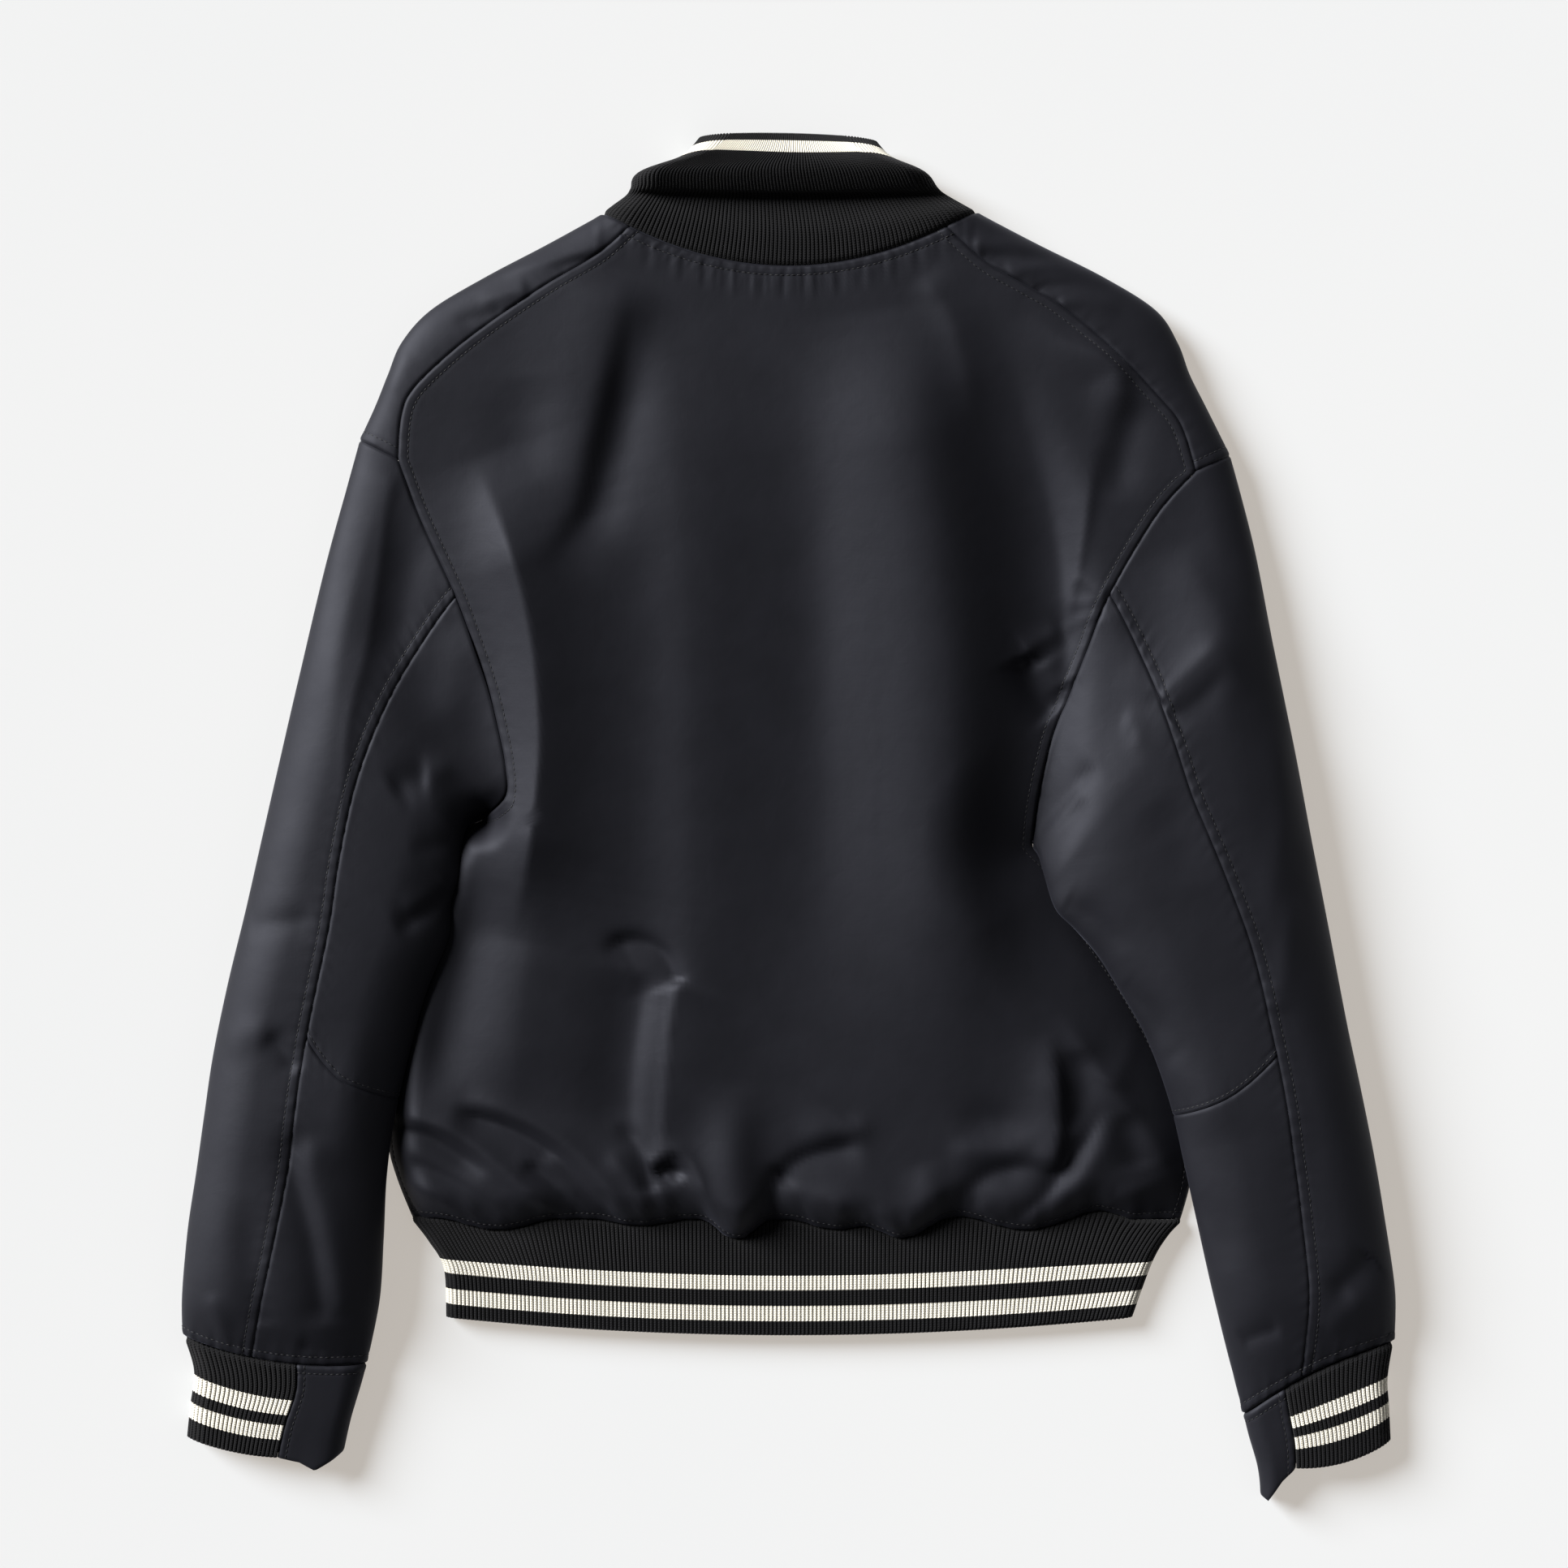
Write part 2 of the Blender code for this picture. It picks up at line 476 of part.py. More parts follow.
def front_collar_plan(t, side_sign, share, edge):
    """Plan of the collar's front half: t is 0 at the side edge and 1 at the centre."""
    roll = 0.5 * math.pi * np.clip(t / FRONT_COLLAR_TURN, 0.0, 1.0)
    rest = np.clip(t - FRONT_COLLAR_TURN, 0.0, None)
    t = FRONT_COLLAR_TURN * (1.0 - np.cos(roll)) + rest
    side_x, side_y = COLLAR_SIDE
    top_side_x, top_side_y = COLLAR_TOP_SIDE
    turn = 0.5 * math.pi * np.clip((t - NECK_CORNER) / (1.0 - NECK_CORNER), 0.0, 1.0)
    x = NECK_POINT * np.cos(turn)
    seam_x = np.where(t < NECK_CORNER, side_x + (NECK_POINT - side_x) * t / NECK_CORNER, x)
    seam_y = np.where(t < NECK_CORNER, neckline_y(seam_x), front_neckline_y(x))
    half = 0.5 * math.pi * t
    top_x = top_side_x * np.cos(half)
    top_y = top_side_y - (top_side_y - FRONT_COLLAR_TOP) * np.sin(half)
    x = seam_x + (top_x - seam_x) * share
    y = seam_y + (top_y - seam_y) * share
    hold = (1.0 - t) ** 4
    edge_x = side_x + (top_side_x - side_x) * share
    edge_y = side_y + (top_side_y - side_y) * share
    x = x + hold * (np.abs(edge[..., 0]) - edge_x)
    y = y + hold * (edge[..., 1] - edge_y)
    return np.stack([side_sign * x, y], axis=-1)


def collar_surface(u, v):
    """Outer face of the collar, with its slouch over the back."""
    row = through(COLLAR_ROWS, v)
    left, right = row[..., 0:2], row[..., 2:4]
    middle, lift, share, nose, climb = (row[..., k] for k in range(4, 9))
    width = right[..., 0] - left[..., 0]
    nose_c = nose / width
    c, k, upper = across(u, 0.5, 0.5, (nose_c, nose_c), COLLAR_UNDER_NOSE, (share, share),
                         FRONT_COLLAR_TURN)
    plan = left + (right - left) * c[..., None]
    level = 0.5 * (left[..., 1] + right[..., 1])
    sag = (middle - level) * (1.0 - np.abs(2.0 * c - 1.0) ** 2.0)
    plan = np.stack([plan[..., 0], plan[..., 1] + sag], axis=-1)
    t_left, t_right = np.clip(-u, 0.0, 1.0), np.clip(u - 2.0, 0.0, 1.0)
    plan = np.where((u < 0.0)[..., None], front_collar_plan(t_left, -1.0, climb, left), plan)
    plan = np.where((u > 2.0)[..., None], front_collar_plan(t_right, 1.0, climb, right), plan)
    z = np.where(upper, COLLAR_NOSE + (lift - COLLAR_NOSE) * k, COLLAR_NOSE * (1.0 - k))
    return np.concatenate([plan, z[..., None]], axis=-1)


def shoulder_surface(side):
    """Outer face of a shoulder piece: u is 1 at the back seam, 0 on the fold, -1 in front."""
    edge_path, seam_path = dense(SHOULDER_EDGE_LINE[side]), dense(SHOULDER_SEAM_LINE[side])

    def surface(u, v):
        edge, seam = along(edge_path, v), along(seam_path, v)
        turn = 0.5 * math.pi * np.abs(u)
        plan = edge + (seam - edge) * (1.0 - np.cos(turn))[..., None]
        x, y = plan[..., 0], plan[..., 1]
        lift = np.sin(turn)
        top = SHOULDER_EDGE + (body_top(x, y) - SHOULDER_EDGE) * lift
        return np.stack([x, y, np.where(u >= 0.0, top, SHOULDER_EDGE * (1.0 - lift))], axis=-1)

    return surface


# ---------------------------------------------------------------- panels of the body

# Columns of the sleeve's mesh: below and above its outer edge, above its inner edge and below it
UNDER_STOPS_OUTER = (-1.0, -0.8, -0.6, -0.4, -0.2)
TOP_STOPS_OUTER = (0.0, 1 / 6, 1 / 3, 0.5, 2 / 3, 5 / 6, 1.0)
TOP_STOPS_INNER = (1.0, 1.2, 1.4, 1.6, 1.8, 2.0)
UNDER_STOPS_INNER = (2.2, 2.4, 2.6, 2.8, 3.0)
BODY_TOP_STOPS = TOP_STOPS_OUTER[3:] + TOP_STOPS_INNER[1:]
BODY_UNDER_STOPS = UNDER_STOPS_OUTER[2::-1] + UNDER_STOPS_INNER[-2::-1] + (2.0,)
SHOULDER_STOPS = (-1.0, -2 / 3, -1 / 3, 0.0, 1 / 3, 2 / 3, 1.0)
CUFF_PLAIN_STOPS = (-1.0, -0.7, -0.4, -0.27, -0.13)
CUFF_STRIP_STOPS = (1.0, 1.2, 1.4, 1.6, 1.73, 1.87, 2.0, 2.13, 2.27, 2.4, 2.7, 3.0)
CUFF_ROWS = (0.0, 1.0, 2.0, 3.0)
HEM_PLAIN_STOPS = (-1.0, -0.8, -0.6, -0.4, -0.2, -0.1, -0.067, -0.033)
COLLAR_PLAIN_STOPS = (-1.0, -0.85, -0.7, -0.5, -0.3, -0.2, -0.12, -0.06)
RIBBED_LENGTH = {"hem": 0.452, "collar": 0.244}     # over the back, round both turned edges
CUFF_RIBS = {"left": 24, "right": 26}


def head_nodes(side, stops):
    """The armhole's points where the sleeve's columns at the given u end."""
    surface = sleeve_surface(side)
    stops = np.array(stops)
    return surface(stops, np.zeros_like(stops))[..., :2]


def body_edge(side, stops):
    """A body panel's side, as points shared with the shoulder, the sleeve and the side seam."""
    shoulder = along(dense(SHOULDER_SEAM_LINE[side]), np.linspace(0, 1, SHOULDER_ROWS + 1))
    side_seam = along(SIDE_PATH[side], np.linspace(0, 1, SIDE_ROWS + 1))
    return np.concatenate([shoulder[:-1], head_nodes(side, stops), side_seam[1:]])


def back_surface():
    left, right = body_edge("left", BODY_TOP_STOPS), body_edge("right", BODY_TOP_STOPS)
    rows = len(left) - 1

    def surface(s, t):
        i = np.minimum(t.astype(int), rows - 1)
        f = (t - i)[..., None]
        start = left[i] + (left[i + 1] - left[i]) * f
        end = right[i] + (right[i + 1] - right[i]) * f
        plan = start + (end - start) * s[..., None]
        share = t / rows
        top_x = left[0, 0] + (right[0, 0] - left[0, 0]) * s
        top_line = left[0, 1] + (right[0, 1] - left[0, 1]) * s
        hem_x = left[-1, 0] + (right[-1, 0] - left[-1, 0]) * s
        y = plan[..., 1] + (neckline_y(top_x) - top_line) * (1.0 - share) ** 2
        y = y + (hem_seam_y(hem_x) - straight_hem_y(hem_x)) * share ** 5
        x = plan[..., 0]
        return np.stack([x, y, body_top(x, y)], axis=-1)

    return surface, rows


def front_grid(side):
    """Lower face of a front, from the side to the lapped edge at the centre."""
    edge = body_edge(side, BODY_UNDER_STOPS)
    rows = len(edge)
    sign = -1.0 if side == "left" else 1.0
    level = SNAP_HEIGHT + CLEARANCE
    if side == "right":
        level = level + CLOTH + CLEARANCE
    centre_x = -sign * FRONT_LAP
    centre_top = front_neckline_y(centre_x)
    grid = []
    for i, (edge_x, edge_y) in enumerate(edge):
        share = i / (rows - 1)
        centre_y = centre_top + (straight_hem_y(centre_x) - centre_top) * share
        row = []
        for x in np.append(sign * front_columns(abs(edge_x)), centre_x):
            f = (x - edge_x) / (centre_x - edge_x)
            top_x = edge[0, 0] + (centre_x - edge[0, 0]) * f
            top_line = edge[0, 1] + (centre_top - edge[0, 1]) * f
            dip = front_neckline_y(np.float64(top_x)) - top_line
            y = edge_y + (centre_y - edge_y) * f + dip * (1.0 - share) ** 3
            out = sign * x
            z = level * float(np.clip((LAP_RISE - out) / (LAP_RISE - LAP_LEVEL), 0.0, 1.0))
            row.append((x, y, z))
        grid.append(row)
    return np.array(grid)


# ---------------------------------------------------------------- walls and objects

def facing(surface, u, v, span_u, span_v, turn, step=0.01):
    """Outward unit normals of a surface; turn is -1 where u and v run clockwise from above."""
    u0, u1 = np.clip(u - step, *span_u), np.clip(u + step, *span_u)
    v0, v1 = np.clip(v - step, *span_v), np.clip(v + step, *span_v)
    normal = np.cross(surface(u1, v) - surface(u0, v), surface(u, v1) - surface(u, v0))
    return turn * normal / np.maximum(np.linalg.norm(normal, axis=-1), 1e-12)[..., None]


ALL_BORDERS = ("first_row", "last_row", "first_column", "last_column")
TURN = {"left": -1.0, "right": 1.0}


def pull_in(grid, borders, gap=SEAM_GAP / 2):
    """Moves the grid's named borders inwards, by half a seam gap or as told."""
    ends = {"first_row": (0, 1), "last_row": (-1, -2)}
    for name, (rim, inside) in ends.items():
        if name in borders:
            run = grid[inside] - grid[rim]
            grid[rim] += run / np.linalg.norm(run, axis=-1)[..., None] * gap
    ends = {"first_column": (0, 1), "last_column": (-1, -2)}
    for name, (rim, inside) in ends.items():
        if name in borders:
            run = grid[:, inside] - grid[:, rim]
            grid[:, rim] += run / np.linalg.norm(run, axis=-1)[..., None] * gap
    return grid


def upright(normal, grid, rows):
    """Turns the normals of border rows into the row's own upright plane, so rims stay parted."""
    for row in rows:
        step = np.diff(grid[row, :, :2], axis=0)
        before, after = np.vstack([step[:1], step]), np.vstack([step, step[-1:]])
        longer = np.linalg.norm(after, axis=1) >= np.linalg.norm(before, axis=1)
        run = np.where(longer[:, None], after, before)
        across_row = np.stack([-run[:, 1], run[:, 0], 0.0 * run[:, 0]], axis=1)
        across_row /= np.linalg.norm(across_row, axis=1)[:, None]
        flat = normal[row] - (normal[row] * across_row).sum(1)[:, None] * across_row
        normal[row] = flat / np.linalg.norm(flat, axis=1)[:, None]
    return normal


def rim_faces(outer, inner, kept):
    """Closes a wall along one edge, where the inner face keeps only some of the columns."""
    faces = []
    for j in range(len(kept) - 1):
        first, last = kept[j], kept[j + 1]
        half = (first + last) // 2 if last - first > 1 else first
        for k in range(first, last):
            near = inner[j] if k < half else inner[j + 1]
            faces.append((outer[k], outer[k + 1], near))
        faces.append((outer[half], inner[j + 1], inner[j]))
    return faces


def wall(name, outer, inner, kept, slot):
    """A closed wall between an outer grid and an inner grid on the kept columns."""
    rows, columns = outer.shape[:2]
    points = np.concatenate([outer.reshape(-1, 3), inner.reshape(-1, 3)])
    out = np.arange(rows * columns).reshape(rows, columns)
    inn = np.arange(rows * len(kept)).reshape(rows, len(kept)) + rows * columns
    mesh = bmesh.new()
    verts = [mesh.verts.new(point) for point in points.tolist()]
    faces = []
    for sheet in (out, inn):
        for a, b in zip(sheet[:-1], sheet[1:]):
            faces += [(a[j], a[j + 1], b[j + 1], b[j]) for j in range(len(a) - 1)]
    faces += rim_faces(out[0], inn[0], kept) + rim_faces(out[-1], inn[-1], kept)
    for j, k in ((0, 0), (columns - 1, len(kept) - 1)):
        faces += [(out[i, j], out[i + 1, j], inn[i + 1, k], inn[i, k]) for i in range(rows - 1)]
    for face in faces:
        mesh.faces.new([verts[i] for i in face])
    bmesh.ops.recalc_face_normals(mesh, faces=mesh.faces)
    data = bpy.data.meshes.new(name)
    mesh.to_mesh(data)
    mesh.free()
    return add_object(name, data, slot)


def add_object(name, data, slot):
    thing = bpy.data.objects.new(name, data)
    thing.data.materials.append(material(slot, name))
    thing.data.shade_smooth()
    COLLECTION.objects.link(thing)
    return thing


def panel(name, surface, u, v, span_u, span_v, turn):
    """A cloth wall over part of a surface, parted from its neighbours all round."""
    outer = pull_in(surface(u, v), ALL_BORDERS)
    normal = upright(facing(surface, u, v, span_u, span_v, turn), outer, (0, -1))
    inner = outer - normal * CLOTH
    return wall(name, outer, inner, list(range(u.shape[1])), "nylon")


def ribbed(name, surface, columns, rows, kept, ribs, turn):
    """A knit wall: ribs raised on its outer face over a plain inner face."""
    u, v = np.meshgrid(columns, rows)
    outer = pull_in(surface(u, v), ("first_column", "last_column"))
    outer = pull_in(outer, ("first_row",), SEAM_GAP)
    normal = facing(surface, u, v, (columns[0], columns[-1]), (rows[0], rows[-1]), turn)
    normal = upright(normal, outer, (0,))
    inner = (outer - normal * KNIT)[:, kept]
    outer = outer + normal * (RIB_RELIEF * ribs)[None, :, None]
    return wall(name, outer, inner, kept, "knit")


def rib_columns(start, end, count):
    """Column places for a number of ribs, and which of them stand proud."""
    places = np.linspace(start, end, 2 * count + 1)
    proud = np.arange(2 * count + 1) % 2
    proud[:EDGE_COLUMNS] = 0
    if end == 2.0:
        proud[-EDGE_COLUMNS:] = 0
    return places, proud


def every(first, last, stride):
    """Column numbers from first to last, both kept."""
    return list(range(first, last, stride)) + [last]


def material(slot, name):
    color, roughness, metallic = FINISHES[slot]
    data = bpy.data.materials.new(f"{slot}_{name}")
    data.use_nodes = True
    shader = data.node_tree.nodes["Principled BSDF"]
    shader.inputs["Base Color"].default_value = (*color, 1.0)
    shader.inputs["Roughness"].default_value = roughness
    shader.inputs["Metallic"].default_value = metallic
    return data



# ---------------------------------------------------------------- the pieces

def build_back():
    surface, rows = back_surface()
    s, t = np.meshgrid(np.linspace(0, 1, BACK_COLUMNS + 1), np.arange(rows + 1.0))
    panel("back_panel", surface, s, t, (0, 1), (0, rows), -1.0)


def build_fronts():
    for side in ("left", "right"):
        outer = front_grid(side)
        pull_in(outer, ("first_row", "last_row", "first_column"))
        inner = outer + np.array([0.0, 0.0, CLOTH])
        wall(f"front_{side}", outer, inner, list(range(outer.shape[1])), "nylon")


def build_shoulders():
    for side in ("left", "right"):
        u, v = np.meshgrid(SHOULDER_STOPS, np.linspace(0, 1, SHOULDER_ROWS + 1))
        panel(f"shoulder_{side}", shoulder_surface(side), u, v, (-1, 1), (0, 1), TURN[side])


def elbow_row(side, u):
    """Where the elbow seam crosses the sleeve at u, from the back seam to the under seam."""
    at_seam, at_edge = ELBOW_ROW[side]
    f = np.clip(u - 1.0, 0.0, 1.0)
    return at_seam + (at_edge - at_seam) * (1.0 - (1.0 - f) ** 2.2)


def build_sleeves():
    last = len(SLEEVE_SECTIONS["left"]) - 1
    outer_u = np.array(UNDER_STOPS_OUTER + TOP_STOPS_OUTER)
    inner_u = np.array(TOP_STOPS_INNER + UNDER_STOPS_INNER)
    spans = (-1.0, 3.0), (0.0, float(last))
    for side in ("left", "right"):
        surface = sleeve_surface(side)
        above = np.linspace(0, ELBOW_ROW[side][0], UPPER_ROWS + 1)
        below = np.linspace(ELBOW_ROW[side][0], last, LOWER_ROWS + 1)
        u, v = np.meshgrid(outer_u, np.concatenate([above, below[1:]]))
        panel(f"sleeve_outer_{side}", surface, u, v, *spans, TURN[side])
        elbow = elbow_row(side, inner_u)
        u, f = np.meshgrid(inner_u, np.linspace(0, 1, UPPER_ROWS + 1))
        panel(f"sleeve_inner_{side}", surface, u, f * elbow, *spans, TURN[side])
        u, f = np.meshgrid(inner_u, np.linspace(0, 1, LOWER_ROWS + 1))
        panel(f"sleeve_lower_{side}", surface, u, elbow + f * (last - elbow), *spans, TURN[side])


def build_cuffs():
    plain = len(CUFF_PLAIN_STOPS)
    for side in ("left", "right"):
        surface = cuff_surface(side)
        ribs, proud = rib_columns(0.0, 1.0, CUFF_RIBS[side])
        columns = np.concatenate([CUFF_PLAIN_STOPS, ribs])
        proud = np.concatenate([np.zeros(plain), proud])
        kept = list(range(plain)) + every(plain, len(columns) - 1, INNER_STRIDE)
        ribbed(f"cuff_rib_{side}", surface, columns, CUFF_ROWS, kept, proud, TURN[side])
        u, v = np.meshgrid(CUFF_STRIP_STOPS, CUFF_ROWS)
        panel(f"cuff_strip_{side}", surface, u, v, (-1.0, 3.0), (0.0, 3.0), TURN[side])


def knit_ring(name, surface, plain_stops, length, rows, turn):
    """A knit band, open at the centre front: ribs over the back, plain beneath."""
    count = round(length / RIB_PITCH)
    ribs, proud = rib_columns(0.0, 2.0, count)
    plain = np.array(plain_stops)
    columns = np.concatenate([plain, ribs, 2.0 - plain[::-1]])
    proud = np.concatenate([np.zeros(len(plain)), proud, np.zeros(len(plain))])
    first, last = len(plain), len(plain) + 2 * count
    kept = list(range(first)) + every(first, last, INNER_STRIDE)
    kept += list(range(last + 1, len(columns)))
    ribbed(name, surface, columns, rows, kept, proud, turn)


def build_hem():
    knit_ring("hem_rib", hem_surface, HEM_PLAIN_STOPS, RIBBED_LENGTH["hem"], HEM_STOPS, -1.0)


def build_collar():
    rows = np.arange(float(len(COLLAR_ROWS)))
    knit_ring("collar_rib", collar_surface, COLLAR_PLAIN_STOPS, RIBBED_LENGTH["collar"], rows,
              1.0)


def build_snaps():
    """Snap caps under the lapped edge, their faces on the surface."""
    for number in range(SNAP_COUNT):
        mesh = bmesh.new()
        bmesh.ops.create_cone(mesh, cap_ends=True, segments=20, radius1=SNAP_RADIUS * 0.86,
                              radius2=SNAP_RADIUS, depth=SNAP_HEIGHT)
        bmesh.ops.translate(mesh, vec=(0.0, 0.0, SNAP_HEIGHT / 2), verts=mesh.verts)
        data = bpy.data.meshes.new(f"snap_cap_{number + 1}")
        mesh.to_mesh(data)
        mesh.free()
        cap = add_object(f"snap_cap_{number + 1}", data, "snap")
        cap.data.set_sharp_from_angle(angle=math.radians(30))
        cap.location.y = SNAP_TOP_Y - number * SNAP_PITCH


for old in list(bpy.data.objects):
    bpy.data.objects.remove(old)
COLLECTION = bpy.data.collections.new("varsity_jacket")
bpy.context.scene.collection.children.link(COLLECTION)

build_back()
build_fronts()
build_shoulders()
build_sleeves()
build_cuffs()
build_hem()
build_collar()
build_snaps()
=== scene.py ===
"""Varsity jacket laid flat on its front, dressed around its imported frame.

Metres, +Z up, the collar towards +Y and the wearer's left towards -X.  Each piece that a maker
cuts is a thin shell: a grid laid over the form of its solid, with its folds, the dips of its
seams and its rows of stitching.
"""

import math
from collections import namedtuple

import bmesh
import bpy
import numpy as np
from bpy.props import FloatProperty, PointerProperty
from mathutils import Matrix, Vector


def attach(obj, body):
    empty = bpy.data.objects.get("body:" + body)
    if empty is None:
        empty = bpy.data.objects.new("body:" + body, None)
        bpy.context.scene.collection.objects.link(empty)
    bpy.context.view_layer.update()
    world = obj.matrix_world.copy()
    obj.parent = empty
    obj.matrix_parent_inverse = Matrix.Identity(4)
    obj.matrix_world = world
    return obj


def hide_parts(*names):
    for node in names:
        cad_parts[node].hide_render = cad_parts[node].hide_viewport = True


bl_info = {
    "name": "Varsity jacket",
    "version": (1, 0, 0),
    "blender": (4, 5, 0),
    "location": "View3D > Sidebar > Jacket",
    "description": "Builds a nylon varsity jacket, laid flat, from its cut pieces",
    "category": "Add Mesh",
}

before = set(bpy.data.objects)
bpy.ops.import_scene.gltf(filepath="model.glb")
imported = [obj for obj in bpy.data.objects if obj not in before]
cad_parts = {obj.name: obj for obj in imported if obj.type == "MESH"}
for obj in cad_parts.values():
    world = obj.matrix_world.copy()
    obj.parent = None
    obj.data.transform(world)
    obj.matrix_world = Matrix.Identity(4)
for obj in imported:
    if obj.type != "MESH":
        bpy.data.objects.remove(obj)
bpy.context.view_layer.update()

MM = 0.001
SIDES = ("left", "right")
TURN = {"left": -1.0, "right": 1.0}     # which way u and v run, seen from outside

BODY_CROWN = 0.024      # the back above the surface
SHOULDER_EDGE = 0.011   # middle of the fold along the shoulder
SIDE_EDGE = 0.0034      # upper face of the back where it meets a front at the side
SIDE_FALL = {"left": 0.022, "right": 0.070}     # width over which the back falls to each side
HEM_TOP = 0.0100        # upper face at the hem seam
HEM_FALL = 0.024        # width over which the back falls to the hem band
RIB_PITCH = 0.0026      # one rib and one groove of the knit
NECK_LOW = 0.341        # lowest point of the back neckline
NECK_DROP = 0.034       # rise of the neckline at NECK_HALF
NECK_HALF = 0.1155
NECK_POINT = 0.0975     # half the distance between the shoulder points at the neck
FRONT_NECK_LOW = 0.2925
FRONT_COLLAR_TOP = 0.370
FRONT_LAP = 0.012       # the fronts overlap by twice this at the centre
LAP_LEVEL = 0.018       # half width of the level strip under the snaps
LAP_RISE = 0.046        # half width where a front starts to rise to that strip
SNAP_HEIGHT = 0.0017

# Half outlines of the body as (x, y), top to bottom
SHOULDER_EDGE_LINE = {
    "left": [(-0.1145, 0.3745), (-0.150, 0.355), (-0.188, 0.335), (-0.221, 0.315),
             (-0.239, 0.295), (-0.2475, 0.275), (-0.2555, 0.255), (-0.265, 0.2345)],
    "right": [(0.1165, 0.3755), (0.155, 0.3555), (0.196, 0.335), (0.2275, 0.315),
              (0.241, 0.295), (0.2485, 0.275), (0.2585, 0.255), (0.2735, 0.225)],
}
SHOULDER_SEAM_LINE = {
    "left": [(-0.0975, 0.3652), (-0.1175, 0.348), (-0.150, 0.3285), (-0.182, 0.307),
             (-0.208, 0.287), (-0.231, 0.2645), (-0.238, 0.2475), (-0.240, 0.222)],
    "right": [(0.0975, 0.3652), (0.1215, 0.3435), (0.1475, 0.3285), (0.169, 0.3155),
              (0.200, 0.290), (0.2285, 0.260), (0.242, 0.2425), (0.251, 0.2145)],
}
ARMHOLE_LINE = {
    "left": [(-0.240, 0.222), (-0.227, 0.187), (-0.2045, 0.1375), (-0.1925, 0.105),
             (-0.184, 0.080), (-0.1775, 0.0535), (-0.1735, 0.0325), (-0.1735, 0.014),
             (-0.1895, 0.0000)],
    "right": [(0.251, 0.2145), (0.2265, 0.187), (0.1975, 0.138), (0.184, 0.105),
              (0.175, 0.0815), (0.1635, 0.0515), (0.1545, 0.013), (0.1515, -0.0165)],
}
SIDE_LINE = {
    "left": [(-0.1895, 0.0000), (-0.2045, -0.0055), (-0.2150, -0.0245), (-0.2200, -0.0520),
             (-0.228, -0.085), (-0.2405, -0.125), (-0.2475, -0.165), (-0.2485, -0.200),
             (-0.243, -0.2225), (-0.233, -0.2475)],
    "right": [(0.1515, -0.0165), (0.1690, -0.0355), (0.1815, -0.0615), (0.2005, -0.090),
              (0.2165, -0.115), (0.2345, -0.150), (0.2455, -0.1775), (0.251, -0.200),
              (0.250, -0.225), (0.2435, -0.249)],
}

# The cloth of the back bulges over the hem band: centre, half width, drop below the straight seam
HEM_BULGES = [
    (-0.180, 0.036, 0.007),
    (-0.092, 0.030, 0.004),
    (-0.032, 0.022, 0.012),
    (0.030, 0.030, 0.006),
    (0.070, 0.028, 0.011),
    (0.146, 0.030, 0.006),
    (0.106, 0.018, -0.002),
    (0.192, 0.024, -0.006),
]

